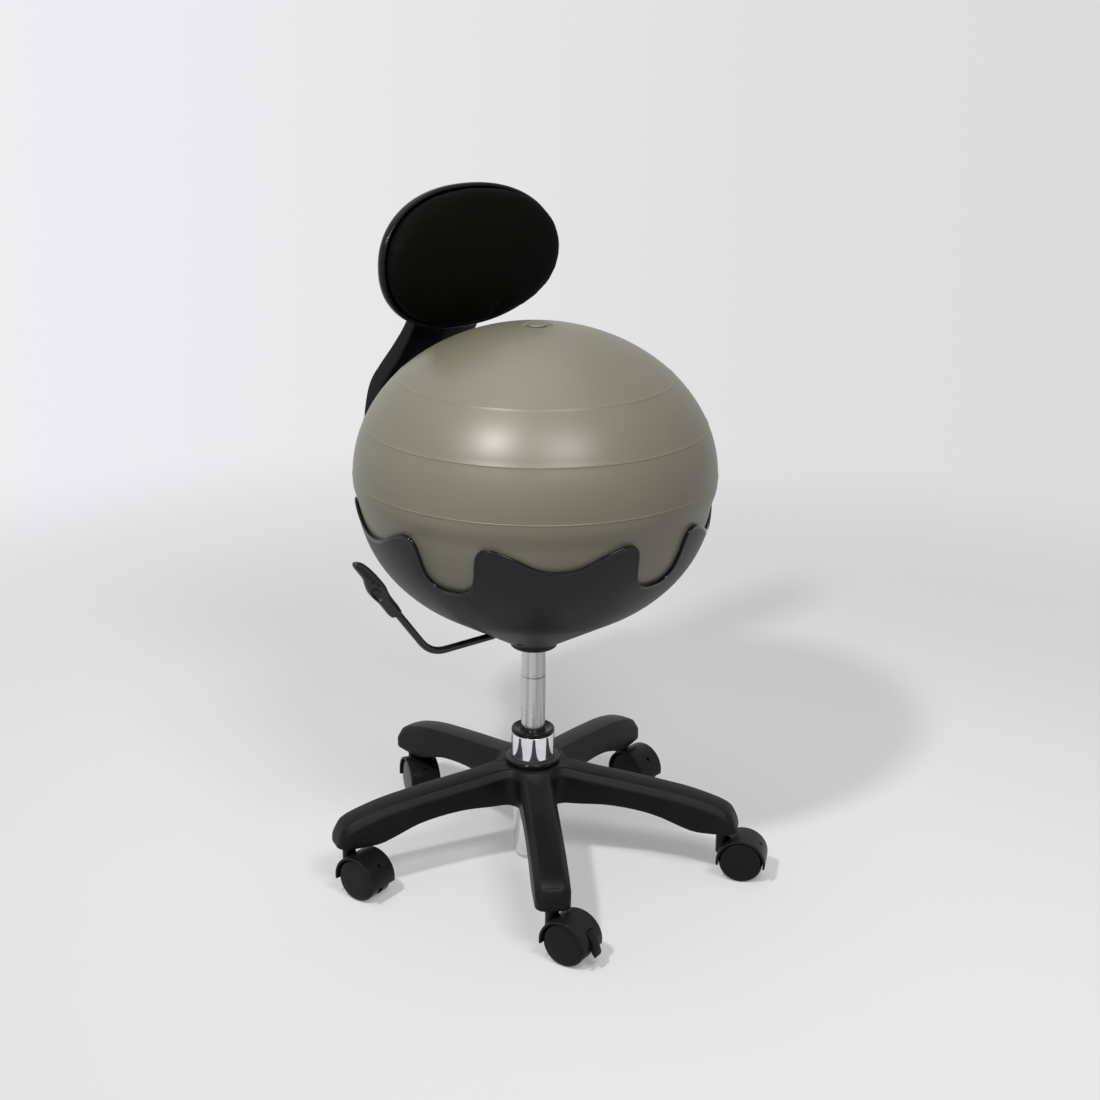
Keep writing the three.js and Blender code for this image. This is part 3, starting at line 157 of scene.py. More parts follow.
def grid(rows, close_rows=False, close_columns=False):
    """Quads over rows of points with equal counts."""
    count = len(rows[0])
    points = [tuple(p) for row in rows for p in row]
    faces = []
    for i in range(len(rows) if close_rows else len(rows) - 1):
        first, following = i * count, (i + 1) % len(rows) * count
        quads(faces, range(first, first + count), range(following, following + count), close_columns)
    return points, faces


def capped(rows):
    """Closed rows of points as a skin, with a flat face over its first and its last row."""
    points, faces = grid(rows, close_columns=True)
    count = len(rows[0])
    return points, faces + [tuple(range(count))[::-1], tuple(len(points) - count + k for k in range(count))]


def closed_skin(rings, start, end):
    """Closed rings of points as a skin that runs together in a start and an end point."""
    points, faces = grid(rings, close_columns=True)
    count = len(rings[0])
    points += [tuple(start), tuple(end)]
    last = len(points) - 2 - count
    for k in range(count):
        k2 = (k + 1) % count
        faces += [(len(points) - 2, k2, k), (len(points) - 1, last + k, last + k2)]
    return points, faces


def turned(profile, steps=96, closed=False):
    """A profile of (radius, height) turned round the upright axis; ends on the axis close up."""
    rows = []
    for k in range(steps):
        c, s = math.cos(TAU * k / steps), math.sin(TAU * k / steps)
        rows.append([(r * c, r * s, z) for r, z in profile])
    return grid(rows, close_rows=True, close_columns=closed)


def bar(radius, low, high, steps):
    """A round bar on the upright axis."""
    return turned([(0, low), (radius, low), (radius, high), (0, high)], steps)


def block(low_x, high_x, low_y, high_y, low_z, high_z):
    """A plain block between six planes."""
    points = [(x, y, z) for z in (low_z, high_z) for x, y in
              ((low_x, low_y), (high_x, low_y), (high_x, high_y), (low_x, high_y))]
    return points, [(3, 2, 1, 0), (4, 5, 6, 7), (0, 1, 5, 4), (1, 2, 6, 5), (2, 3, 7, 6), (3, 0, 4, 7)]


def plate(outline, low, high):
    """A closed outline in X and Z made thick along Y."""
    return capped([[(x, y, z) for x, z in outline] for y in (low, high)])


def arc(radius, low, high, steps, centre=(0, 0)):
    """Points on an arc between two angles."""
    x, y = centre
    return [(x + radius * math.cos(a), y + radius * math.sin(a)) for a in np.linspace(low, high, steps)]


def rounded(profile, corners, steps=4):
    """A profile with its corners rounded: corners gives each point's radius, 0 to leave it."""
    out = []
    for i, (point, radius) in enumerate(zip(profile, corners)):
        if not radius or i == 0 or i == len(profile) - 1:
            out.append(point)
            continue
        p = np.array(point, float)
        a = np.array(profile[i - 1], float) - p
        b = np.array(profile[i + 1], float) - p
        reach = min(radius, 0.45 * np.linalg.norm(a), 0.45 * np.linalg.norm(b))
        start = p + a / np.linalg.norm(a) * reach
        end = p + b / np.linalg.norm(b) * reach
        out += [tuple(p) for p in bend(start, p, end, steps + 1)]
    return out


def bend(start, corner, end, steps):
    """A soft curve from start to end that leans to a corner."""
    return [(1 - t) ** 2 * start + 2 * t * (1 - t) * corner + t * t * end for t in np.linspace(0, 1, steps)]


def run_along(points):
    """How far along a line each of its points lies."""
    return np.concatenate([[0], np.cumsum(np.linalg.norm(np.diff(points, axis=0), axis=1))])


def evenly(points, wanted):
    """Points at wanted distances along a line."""
    run = run_along(points)
    return np.stack([np.interp(wanted, run, points[:, k]) for k in range(points.shape[1])], 1)


def curve_through(points, count, closed=False):
    """Even points on a smooth curve through some points of any dimension."""
    pts = np.array(points, float)
    if closed:
        pts = np.vstack([pts[-1:], pts, pts[:2]])
    else:
        pts = np.vstack([2 * pts[:1] - pts[1:2], pts, 2 * pts[-1:] - pts[-2:-1]])
    fine = 24
    dense = []
    for i in range(1, len(pts) - 2):
        p0, p1, p2, p3 = pts[i - 1:i + 3]
        d1, d2, d3 = (max(np.linalg.norm(b - a), 1e-9) ** 0.5 for a, b in ((p0, p1), (p1, p2), (p2, p3)))
        m1 = ((p1 - p0) / d1 - (p2 - p0) / (d1 + d2) + (p2 - p1) / d2) * d2
        m2 = ((p2 - p1) / d2 - (p3 - p1) / (d2 + d3) + (p3 - p2) / d3) * d2
        for k in range(fine):
            t = k / fine
            dense.append((2 * t ** 3 - 3 * t ** 2 + 1) * p1 + (t ** 3 - 2 * t ** 2 + t) * m1
                         + (-2 * t ** 3 + 3 * t ** 2) * p2 + (t ** 3 - t ** 2) * m2)
    dense = np.array(dense + [pts[-2]])
    wanted = np.linspace(0, run_along(dense)[-1], count + 1 if closed else count)
    return evenly(dense, wanted[:-1] if closed else wanted)


def between(value, low, high):
    """0 below low, 1 above high, even in between."""
    return float(np.clip((value - low) / (high - low), 0, 1))


# Finishes
def maths(operation, swapped=False):
    """A method that puts a maths node between two values."""
    def method(self, other):
        values = (other, self) if swapped else (self, other)
        return self.recipe.node("ShaderNodeMath", dict(enumerate(values)), operation=operation)
    return method


class Link:
    """One value in a finish, so that its maths reads as a sum."""

    def __init__(self, recipe, socket):
        self.recipe = recipe
        self.socket = socket

    __add__, __radd__ = maths("ADD"), maths("ADD", True)
    __sub__, __rsub__ = maths("SUBTRACT"), maths("SUBTRACT", True)
    __mul__, __rmul__ = maths("MULTIPLY"), maths("MULTIPLY", True)
    __truediv__, __pow__ = maths("DIVIDE"), maths("POWER")

    def sine(self):
        return self.recipe.node("ShaderNodeMath", {0: self}, operation="SINE")

    def between(self, low, high):
        """0 below low, 1 above high, smooth in between."""
        return self.recipe.node("ShaderNodeMapRange", {"Value": self, "From Min": low, "From Max": high},
                                interpolation_type="SMOOTHSTEP")


class Recipe:
    """The nodes of a material, or of the studio's world."""

    def __init__(self, owner):
        owner.use_nodes = True
        self.owner = owner
        self.tree = owner.node_tree

    def node(self, kind, inputs=None, out=0, **settings):
        made = self.tree.nodes.new(kind)
        for key, value in settings.items():
            setattr(made, key, value)
        for key, value in (inputs or {}).items():
            self.put(made.inputs[key], value)
        return Link(self, made.outputs[out])

    def put(self, socket, value):
        if isinstance(value, Link):
            self.tree.links.new(value.socket, socket)
        else:
            socket.default_value = value

    def split(self, vector):
        parts = self.node("ShaderNodeSeparateXYZ", {0: vector}).socket.node
        return [Link(self, parts.outputs[k]) for k in range(3)]

    def stretch(self, vector, scale, turn=(0, 0, 0)):
        return self.node("ShaderNodeMapping", {"Vector": vector, "Scale": scale, "Rotation": turn})

    def noise(self, vector, scale, detail, rough, stretch=None):
        if stretch:
            vector = self.stretch(vector, stretch)
        return self.node("ShaderNodeTexNoise", {"Vector": vector, "Scale": scale, "Detail": detail,
                                                "Roughness": rough})

    def blend(self, factor, a, b):
        """A colour between two. A Mix node's sockets 6 and 7, and its output 2, are those for colours."""
        return self.node("ShaderNodeMix", {0: factor, 6: a, 7: b}, out=2, data_type="RGBA")

    def bump(self, height, depth, strength, **under):
        """Relief: height runs from 0 to 1 and depth is its size in metres."""
        values = {"Height": height, "Distance": depth, "Strength": strength}
        return self.node("ShaderNodeBump", {**values, **under})

    def background(self, colour, strength):
        return self.node("ShaderNodeBackground", {"Color": colour, "Strength": strength})

    def seen(self):
        """1 for what the camera sees straight, in a mirror or through glass, and 0 for what only lights."""
        path = self.node("ShaderNodeLightPath").socket.node
        kinds = ("Camera", "Glossy", "Transmission")
        total, *others = (Link(self, path.outputs[f"Is {kind} Ray"]) for kind in kinds)
        for rays in others:
            total = self.node("ShaderNodeMath", {0: total, 1: rays}, operation="ADD", use_clamp=True)
        return total

    def mix(self, factor, a, b):
        return self.node("ShaderNodeMixShader", {0: factor, 1: a, 2: b})

    def finish(self, shine=0.5, **values):
        """shine is how much light a surface throws back as a mirror does; 0.5 is plain plastic."""
        surface = self.tree.nodes["Principled BSDF"]
        surface.inputs["Specular IOR Level"].default_value = shine
        for key, value in values.items():
            self.put(surface.inputs[key.replace("_", " ").title()], value)
        return self.owner


def new_finish(name):
    """A new material's recipe, and the place on the piece that its patterns follow."""
    r = Recipe(bpy.data.materials.new(name))
    return r, r.node("ShaderNodeTexCoord", out="Object")


def cloudy(name, dark, pale, patch, rough, relief, span=None, grain=None, **values):
    """A finish that is cloudy between two tones, with its patches or a fine grain in relief.

    patch and grain are noises, span sharpens the patches, and rough is a value and what the
    patches, and the grain if there is a third number, add to it."""
    r, here = new_finish(name)
    cloud = r.noise(here, *patch)
    fine = r.noise(here, *grain) if grain else cloud
    tone = cloud.between(*span) if span else cloud
    roughness = rough[0] + rough[1] * cloud
    if len(rough) > 2:
        roughness += rough[2] * fine
    return r.finish(base_color=r.blend(tone, dark, pale), roughness=roughness,
                    normal=r.bump(fine, *relief), **values)


def gloss_plastic():
    """Polished black plastic with faint handling haze."""
    r, here = new_finish("gloss_plastic")
    haze = r.noise(here, 45, 5.0, 0.6)
    wave = r.noise(here, 16, 2.0, 0.5)
    colour = r.blend(haze.between(0.3, 0.8), (0.0045, 0.0045, 0.005, 1), (0.0075, 0.0075, 0.008, 1))
    return r.finish(shine=0.17, base_color=colour, roughness=0.12 + 0.12 * haze.between(0.4, 0.8),
                    normal=r.bump(wave, 0.0002, 0.25))


def bowl_plastic():
    """The bowl's charcoal plastic with a fine moulding grain, polished on its lip, and the lip painted near
    black as painted shade.
    """
    r, here = new_finish("bowl_plastic")
    lip = r.node("ShaderNodeAttribute", out=2, attribute_name="mark")
    grain = r.noise(here, 1500, 3.0, 0.6)
    patch = r.noise(here, 12, 4.0, 0.5)
    colour = r.blend(patch.between(0.3, 0.7), (0.0074, 0.0080, 0.0094, 1), (0.0098, 0.0104, 0.012, 1))
    # Painted shade: the lip is coloured near black, darker than the body, along the rim where the ball sits
    colour = r.blend(lip, colour, (0.002, 0.002, 0.0024, 1))
    rough = (0.36 + 0.08 * patch + 0.06 * grain) * (1 - lip) + 0.11 * lip
    return r.finish(shine=0.25, base_color=colour, roughness=rough, coat_weight=lip * 0.08,
                    normal=r.bump(grain * (1 - lip), 0.00015, 0.45))


def ground_steel():
    """The lift's inner cylinder: plated steel ground to a satin, streaked along its length, with broad bands
    of painted reflection.
    """
    r, here = new_finish("ground_steel")
    drawn = r.noise(here, 1.0, 3.0, 0.55, (420, 420, 5))
    # Painted reflection: broad upright bands of lighter and darker steel, as reflected surroundings
    painted_reflection_bands = r.noise(here, 1.0, 1.0, 0.5, (95, 95, 1.5))
    film = r.noise(here, 40, 4.0, 0.6)
    tone = (painted_reflection_bands * 0.7 + drawn * 0.3).between(0.38, 0.62)
    colour = r.blend(tone, (0.60, 0.60, 0.605, 1), (0.37, 0.37, 0.375, 1))
    return r.finish(base_color=colour, metallic=1.0, roughness=0.2 + 0.1 * film + 0.05 * drawn)


def ball_vinyl():
    """Soft grey-brown vinyl: satin, with a fine skin grain and faint cloudy patches."""
    r, here = new_finish("ball_vinyl")
    cloud = r.noise(here, 7, 4.0, 0.55)
    grain = r.noise(here, 950, 4.0, 0.65)
    fine = r.noise(here, 3000, 2.0, 0.6)
    colour = r.blend(cloud.between(0.3, 0.7), (0.143, 0.138, 0.096, 1), (0.158, 0.153, 0.109, 1))
    return r.finish(shine=0.62, base_color=colour, roughness=0.34 + 0.07 * cloud + 0.05 * grain,
                    normal=r.bump(grain, 0.0001, 0.35, Normal=r.bump(fine, 0.00005, 0.3)))


def pad_fabric():
    """Black woven upholstery: a plain weave with slubs, each thread painted a little lighter on its crown as
    a painted highlight.
    """
    r, here = new_finish("pad_fabric")
    x, _, z = r.split(here)
    wobble = r.noise(here, 160, 2.0, 0.5) * 1.2
    over, along = ((place * 3300 + wobble).sine() for place in (x, z))
    # Painted highlight: each thread's crown in the weave is coloured lighter
    weave = over * along * 0.5 + 0.5
    slub = r.noise(here, 1.0, 2.0, 0.5, (60, 60, 900))
    fuzz = r.noise(here, 1800, 3.0, 0.7)
    tone = weave * 0.55 + slub * 0.25 + fuzz * 0.2
    colour = r.blend(tone.between(0.25, 0.8), (0.0009, 0.001, 0.0008, 1), (0.0046, 0.0047, 0.0038, 1))
    return r.finish(shine=0.032, base_color=colour, roughness=0.6 + 0.1 * fuzz,
                    normal=r.bump(weave * 0.7 + fuzz * 0.3, 0.00035, 0.7))


# Glass filled nylon with a spark texture
NYLON = cloudy("moulded_nylon", (0.0042, 0.0043, 0.0047, 1), (0.0072, 0.0073, 0.0077, 1), (22, 4.0, 0.55),
               (0.36, 0.1, 0.08), (0.00012, 0.5), (0.35, 0.7), (2600, 2.0, 0.6), shine=0.135)
# The casters' hoods: a little greyer and finer
HOOD = cloudy("hood_plastic", (0.0055, 0.0057, 0.006, 1), (0.0085, 0.0087, 0.009, 1), (30, 3.0, 0.5),
              (0.36, 0.1), (0.0001, 0.4), (0.3, 0.75), (3200, 2.0, 0.6), shine=0.17)
GLOSS = gloss_plastic()
# The backrest's shell: softer than polished, with a brownish bloom
SATIN = cloudy("satin_plastic", (0.0034, 0.0034, 0.0034, 1), (0.0062, 0.006, 0.0056, 1), (30, 4.0, 0.6),
               (0.13, 0.07), (0.00008, 0.3), (0.3, 0.8), (2400, 2.0, 0.6), shine=0.15)
# The lever's coating and its grip: a little worn, and shinier than the arms
GRIP = cloudy("grip_plastic", (0.009, 0.0092, 0.0098, 1), (0.0145, 0.0147, 0.0155, 1), (60, 4.0, 0.6),
              (0.26, 0.1), (0.00008, 0.35), (0.3, 0.75), (2200, 2.0, 0.6), shine=0.4)
BOWL = bowl_plastic()
# Bright plated steel with faint drawing marks down its length
CHROME = cloudy("chrome_plate", (0.80, 0.80, 0.82, 1), (0.72, 0.72, 0.74, 1), (55, 4.0, 0.6), (0.02, 0.03),
                (0.00002, 0.3), (0.35, 0.75), (1.0, 2.0, 0.5, (900, 900, 12)), metallic=1.0)
GROUND = ground_steel()
# Zinc plated steel for the hidden fittings, the screws and the stems
ZINC = cloudy("zinc_steel", (0.42, 0.43, 0.45, 1), (0.56, 0.56, 0.57, 1), (240, 3.0, 0.6), (0.32, 0.15),
              (0.00004, 0.4), metallic=1.0)
RUBBER = cloudy("black_rubber", (0.012, 0.012, 0.012, 1), (0.022, 0.022, 0.021, 1), (900, 3.0, 0.6),
                (0.7, 0.15), (0.0002, 0.5))
VINYL = ball_vinyl()
FABRIC = pad_fabric()

# The ball: its widest radius and height, and its reach up and down from there
BALL_R, BALL_Z, BALL_UP, BALL_DOWN = 201.2, 472.5, 164.5, 168
# The bowl's round part: its half axes, their centre's height, and its wall
BOWL_A, BOWL_C, BOWL_Z, BOWL_WALL = 196.8, 156.7, 449.1, 3.5
# The lobes' tips bend out from this height, by this much over this reach
FLARE_FOOT, FLARE_OUT, FLARE_REACH = 404, 2.8, 41
SKIN_CLEAR, SKIN_LOW, SKIN_THICK = 0.5, 324.8, 2.4
# The skin leaves the plate for the wall at this angle, and swells out between these heights
SKIN_LEAVES, SWELL_LOW, SWELL_HIGH = math.radians(48), 442, 466
# The three moulded seam rings: height and how far each stands out
SEAMS = [(474.0, 0.5), (530.4, 0.5), (580.8, 0.42)]
SEAM_WIDTH, SEAM_ANGLE = 0.65, 0.0016
VALVE_HOLE = 4.9
# The seat for the valve's plug in the ball's top: radius against height over the top
VALVE_SEAT = [(18.2, -0.62), (17.0, -0.55), (15.9, -0.8), (15.2, -1.35), (14.2, -1.75), (12.0, -1.82),
              (8.0, -1.85), (VALVE_HOLE, -1.85), (VALVE_HOLE, -4.3)]


def wall_radius(z, inset):
    """The bowl's radius at a height on its round part, with its lobes' tips bent out by the ball."""
    v = min(1.0, abs(z - BOWL_Z) / (BOWL_C - inset))
    flare = FLARE_OUT * max(0.0, (z - FLARE_FOOT) / FLARE_REACH) ** 2
    return (BOWL_A - inset) * math.sqrt(1 - v * v) + flare


def raised(profile, height):
    return [(r, height + z) for r, z in profile]


def ball_profile():
    """The ball's outside from its flat bottom on the plate up to the valve's seat."""
    in_wall = BOWL_WALL + SKIN_CLEAR
    seat_r, seat_c = BOWL_A - in_wall, BOWL_C - in_wall
    leave_r, leave_z = seat_r * math.cos(SKIN_LEAVES), BOWL_Z - seat_c * math.sin(SKIN_LEAVES)
    points = [(leave_r * s, SKIN_LOW + (leave_z - SKIN_LOW) * s ** 7) for s in np.linspace(0, 1, 14)[:-1]]
    points += [(seat_r * math.cos(a), BOWL_Z + seat_c * math.sin(a))
               for a in np.linspace(-SKIN_LEAVES, -0.34, 20)]
    # Against the lobes the skin is pressed in, and over their tips it swells out to its own round
    for z in np.linspace(401, BALL_Z, 44):
        free = BALL_R * math.sqrt(1 - ((BALL_Z - z) / BALL_DOWN) ** 2)
        pressed = wall_radius(z, in_wall)
        t = between(z, SWELL_LOW, SWELL_HIGH)
        points.append((pressed + (free - pressed) * t * t * (3 - 2 * t), z))
    angles = set(np.linspace(0, math.pi / 2, 64)[1:-3])
    for z, _ in SEAMS:
        middle = math.asin((z - BALL_Z) / BALL_UP)
        angles -= {a for a in angles if abs(a - middle) < 10 * SEAM_ANGLE}
        angles |= {middle + k * SEAM_ANGLE for k in range(-5, 6)}
    for a in sorted(angles):
        r, z = BALL_R * math.cos(a), BALL_Z + BALL_UP * math.sin(a)
        if r > 20:
            rise = sum(high * math.exp(-((z - seam) / SEAM_WIDTH) ** 2) for seam, high in SEAMS)
            points.append((r + rise * math.cos(a), z + rise * math.sin(a)))
    return points


def ball_inside(points):
    """The skin's inner face, drawn in, down from the valve's hole."""
    kept = [p for p in points[::3] if p[0] > 9]
    inner = [(r - SKIN_THICK, z + (2.5 if z < 350 else -1.6 if z > 500 else 0)) for r, z in reversed(kept)]
    return [(VALVE_HOLE, 633), *inner, (0.0, SKIN_LOW + 2.5)]


outside = ball_profile()
skin = outside + raised(VALVE_SEAT, BALL_Z + BALL_UP) + ball_inside(outside)
hand_in(mesh_piece("ball", turned(skin, 160), smooth=60), "seat", "ball_vinyl", VINYL, "ball")

plug = rounded([(0, -9), (4.1, -9), (4.5, -4.5), (4.5, 0), (10.5, 0), (10.5, 1.3), (9.2, 2.4), (6.6, 2.4),
                (6.2, 2.0), (5.2, 2.0), (4.8, 2.3), (0, 2.35)], [0, .3, 0, 0, .4, .6, .8, .3, .3, .3, .3, 0])
plug = turned(raised(plug, BALL_Z + BALL_UP - 1.5), 64)
hand_in(mesh_piece("valve_plug", plug), "seat", "ball_vinyl", VINYL, "valve_plug")

# The bowl: its collar round the lift, its cone, its round part and its lobes
COLLAR_R, SEAT_LOW, CONE_LOW, SOCKET_R = 27.0, 265.7, 271.2, 23.5
# Half a lobe's rim: the share of the half pitch from its middle against the share of its rise
RIM_RADIUS, RIM_LOW, RIM_RISE, HALF_PITCH = 192, 387.7, 57, 36
RIM_SHARES = [(0, 0.60), (0.10, 0.617), (0.21, 0.68), (0.36, 0.84), (0.47, 0.94), (0.565, 1.0),
              (0.62, 0.995), (0.66, 0.97), (0.705, 0.86), (0.725, 0.70), (0.745, 0.42), (0.775, 0.22),
              (0.83, 0.09), (0.90, 0.02), (1.0, 0)]
# The lip: how far below the rim, how far out, and how much of it is polished and painted dark as painted
# shade
LIP = [(4.2, 0, 0), (3.7, 0.02, 0.4), (3.4, 0.3, 1), (2.9, 0.5, 1), (1.6, 0.5, 1), (0.8, 0.25, 1),
       (0.25, -0.35, 1), (0, -1.2, 1), (0, -2.3, 1), (0.3, -3.1, 1), (1.0, -3.5, 1)]


def bowl_touch(inset, from_r, from_z):
    """The angle at which a line from a point below touches the bowl's round part."""
    u, v = from_r / (BOWL_A - inset), (from_z - BOWL_Z) / (BOWL_C - inset)
    return math.atan2(v, u) + math.acos(1 / math.hypot(u, v))


TOUCH = bowl_touch(0, COLLAR_R, CONE_LOW)
CONE_START = np.array([COLLAR_R, CONE_LOW])
CONE_RUN = np.array([BOWL_A * math.cos(TOUCH), BOWL_Z + BOWL_C * math.sin(TOUCH)]) - CONE_START
CONE_LENGTH = float(np.linalg.norm(CONE_RUN))
CONE_ALONG = CONE_RUN / CONE_LENGTH
CONE_OUT = np.array([CONE_ALONG[1], -CONE_ALONG[0]])


def on_cone(share, out):
    """A point (radius, height) at a share of the cone's length, and out from it."""
    return CONE_START + CONE_ALONG * CONE_LENGTH * share + CONE_OUT * out


def rim_line():
    """The rim laid flat: distance round the bowl against height, lobe after lobe."""
    per_degree = math.pi * RIM_RADIUS / 180
    half = [(x * HALF_PITCH * per_degree, RIM_LOW + RIM_RISE * z) for x, z in RIM_SHARES]
    lobe = curve_through([(-x, z) for x, z in half[:0:-1]] + half, 161)[:-1]
    starts = [math.radians(90 + 2 * HALF_PITCH * k) * RIM_RADIUS for k in range(5)]
    return np.array([(start + x, z) for start in starts for x, z in lobe])


def bowl_shape():
    """Upright columns of points, with rings that follow the rim for its rounded lip."""
    rim = rim_line()
    ahead = np.roll(rim, -1, 0) - rim
    ahead[-1, 0] += TAU * RIM_RADIUS
    behind = rim - np.roll(rim, 1, 0)
    behind[0, 0] += TAU * RIM_RADIUS
    run = ahead / np.linalg.norm(ahead, axis=1)[:, None] + behind / np.linalg.norm(behind, axis=1)[:, None]
    run /= np.linalg.norm(run, axis=1)[:, None]
    down = np.stack([run[:, 1], -run[:, 0]], 1)
    # Upright columns below the lip, each under its own place on it
    lip_foot = rim + down * LIP[0][0]
    columns = lip_foot[:, 0]
    low_z = 345.0
    rings, polish_and_shade = [], []

    def ring(places, share=0.0):
        rings.append([(r * math.cos(x / RIM_RADIUS), r * math.sin(x / RIM_RADIUS), z) for x, r, z in places])
        polish_and_shade.append(share)

    def follow(flat, inset, share=0.0):
        ring([(x, wall_radius(z, inset), z) for x, z in flat], share)

    def level(r, z):
        ring([(x, r, z) for x in columns])

    def round_part(inset, start, end, skip):
        for a in np.linspace(start, end, 6)[skip:]:
            level((BOWL_A - inset) * math.cos(a), BOWL_Z + (BOWL_C - inset) * math.sin(a))

    def lobes(inset, shares):
        for t in shares:
            follow(np.stack([columns, low_z + (lip_foot[:, 1] - low_z) * t], 1), inset)

    for r, z in [(SOCKET_R, SEAT_LOW), (24.4, SEAT_LOW), (25.6, SEAT_LOW + 0.35), (26.5, SEAT_LOW + 1.2),
                 (26.9, SEAT_LOW + 2.4), (27.0, SEAT_LOW + 3.8), (27.35, CONE_LOW - 0.1)]:
        level(r, z)
    for share in np.linspace(0.02, 0.985, 9):
        level(*on_cone(share, 0))
    round_part(0, TOUCH, math.asin((low_z - BOWL_Z) / BOWL_C), 0)
    lobes(0, np.linspace(0, 1, 14)[1:-1])
    # The lip stands proud, then rounds over the rim's edge
    for depth, out, share in LIP:
        follow(rim + down * depth, -out, share)
    lobes(BOWL_WALL, np.linspace(1, 0, 10))
    round_part(BOWL_WALL, math.asin((low_z - BOWL_Z) / (BOWL_C - BOWL_WALL)),
               bowl_touch(BOWL_WALL, SOCKET_R, CONE_LOW + 2), 1)
    level(60, 293.8)
    level(SOCKET_R, CONE_LOW + 2.2)
    return grid(rings, close_columns=True, close_rows=True), [share for share in polish_and_shade for _ in columns]


bowl_skin, bowl_marks = bowl_shape()
bowl = mesh_piece("bowl", bowl_skin, smooth=35, marks=bowl_marks)
LEVER_Z = 314.3
cut(bowl, block(-84, -53, -7, 7, CONE_LOW, LEVER_Z), at=COLUMN)
hand_in(bowl, "seat", "bowl_plastic", BOWL, "bowl")

# Four posts stand on the cone and take the mechanism plate's screws
POST_X, POST_Y, POST_R, POST_TOP, POST_HOLE, HOLE_DEEP = 40, 21, 6, 295.7, 2.5, 9
post_low = CONE_LOW + (math.hypot(POST_X, POST_Y) - COLLAR_R) * CONE_ALONG[1] / CONE_ALONG[0] + 1.8
post = turned([(0, post_low), (POST_R, post_low), (POST_R, POST_TOP - 0.4), (POST_R - 0.4, POST_TOP),
               (POST_HOLE, POST_TOP), (POST_HOLE, POST_TOP - HOLE_DEEP), (0, POST_TOP - HOLE_DEEP)], 20)
corners = [(x, y) for x in (-POST_X, POST_X) for y in (-POST_Y, POST_Y)]
posts = join_shapes(*(moved(post, Matrix.Translation((x, y, 0))) for x, y in corners))
hand_in(mesh_piece("bowl_posts", posts), "seat", "bowl_plastic", BOWL)

# The star base: five arms, drawn with the first one along X and then turned to its place
ARMS, ARMS_START = 5, -37.93
PITCH = TAU / ARMS
ARM_HALF, TIP, TIP_CORNER, FILLET, STEM_PLACE, HUB_TOP = 19.5, 243.0, 12.0, 14.0, 226.0, 122.2
# The arm's top and bottom edge: height against the place along it
top_line = curve_through([(0, HUB_TOP), (39, HUB_TOP), (71, 117.8), (106, 113.6), (155, 106.9),
                          (185, 101.8), (212, 94.5), (222, 91), (230, 87), (236, 82), (240, 78.5),
                          (243, 73)], 200)
low_line = curve_through([(0, 77.4), (24, 78.6), (60, 80), (90, 82.2), (120, 80.6), (150, 75.4), (165, 70),
                          (180, 64.4), (195, 60), (243, 60)], 200)
# The arm's shoulder: how far in from the side against how far below the top
SHOULDERS = [(0, 9.8), (0.15, 9.0), (0.5, 8.2), (1.0, 7.35), (2.0, 5.95), (3.2, 4.3), (4.4, 2.65),
             (5.3, 1.45), (6.1, 0.65), (7.0, 0.18), (8.2, 0)]
# Places along the arm's side, closer where it bends
SIDE_PLACES = [52, 58, 66, *range(76, 149, 12), *range(158, 199, 8), 205, 211, 216, 221, 225, 228, 231]


def arm_top(x):
    return float(np.interp(x, top_line[:, 0], top_line[:, 1]))


def arm_low(x):
    return float(np.interp(x, low_line[:, 0], low_line[:, 1]))


def half_outline(inset, tip=TIP, corner=TIP_CORNER):
    """Half of one arm's plan, from between two arms to the tip's middle, as (along, across)."""
    out = (ARM_HALF + FILLET) / math.sin(PITCH / 2)
    cx, cy = out * math.cos(PITCH / 2), out * math.sin(PITCH / 2)
    points = arc(FILLET + inset, math.radians(216), math.radians(270), 9, (cx, cy))
    half = ARM_HALF - inset
    end = tip - corner
    points += [(min(x, cx + (x - cx) * (end - cx) / (SIDE_PLACES[-1] - cx)), half) for x in SIDE_PLACES]
    round_by = max(corner - inset, 0.5)
    points += arc(round_by, math.pi / 2, 0, 8, (end, half - round_by))[1:]
    return points + [(end + round_by, 0)]


def base_ring(inset, height, tip=TIP, corner=TIP_CORNER):
    """A closed loop round the whole base; height gives z from the place along the arm."""
    half = half_outline(inset, tip, corner)
    both = [(x, -y) for x, y in half] + half[-2:0:-1]
    loop = []
    for arm in range(ARMS):
        c, s = math.cos(PITCH * arm), math.sin(PITCH * arm)
        loop += [(c * x - s * y, s * x + c * y, height(x)) for x, y in both]
    return loop


# Points on half an arm's outline and on the whole arm's, the one at its root, and its strips across
HALF_COUNT = len(half_outline(0))
ARM_COUNT = 2 * HALF_COUNT - 2
ROOT, ACROSS = 8, 8


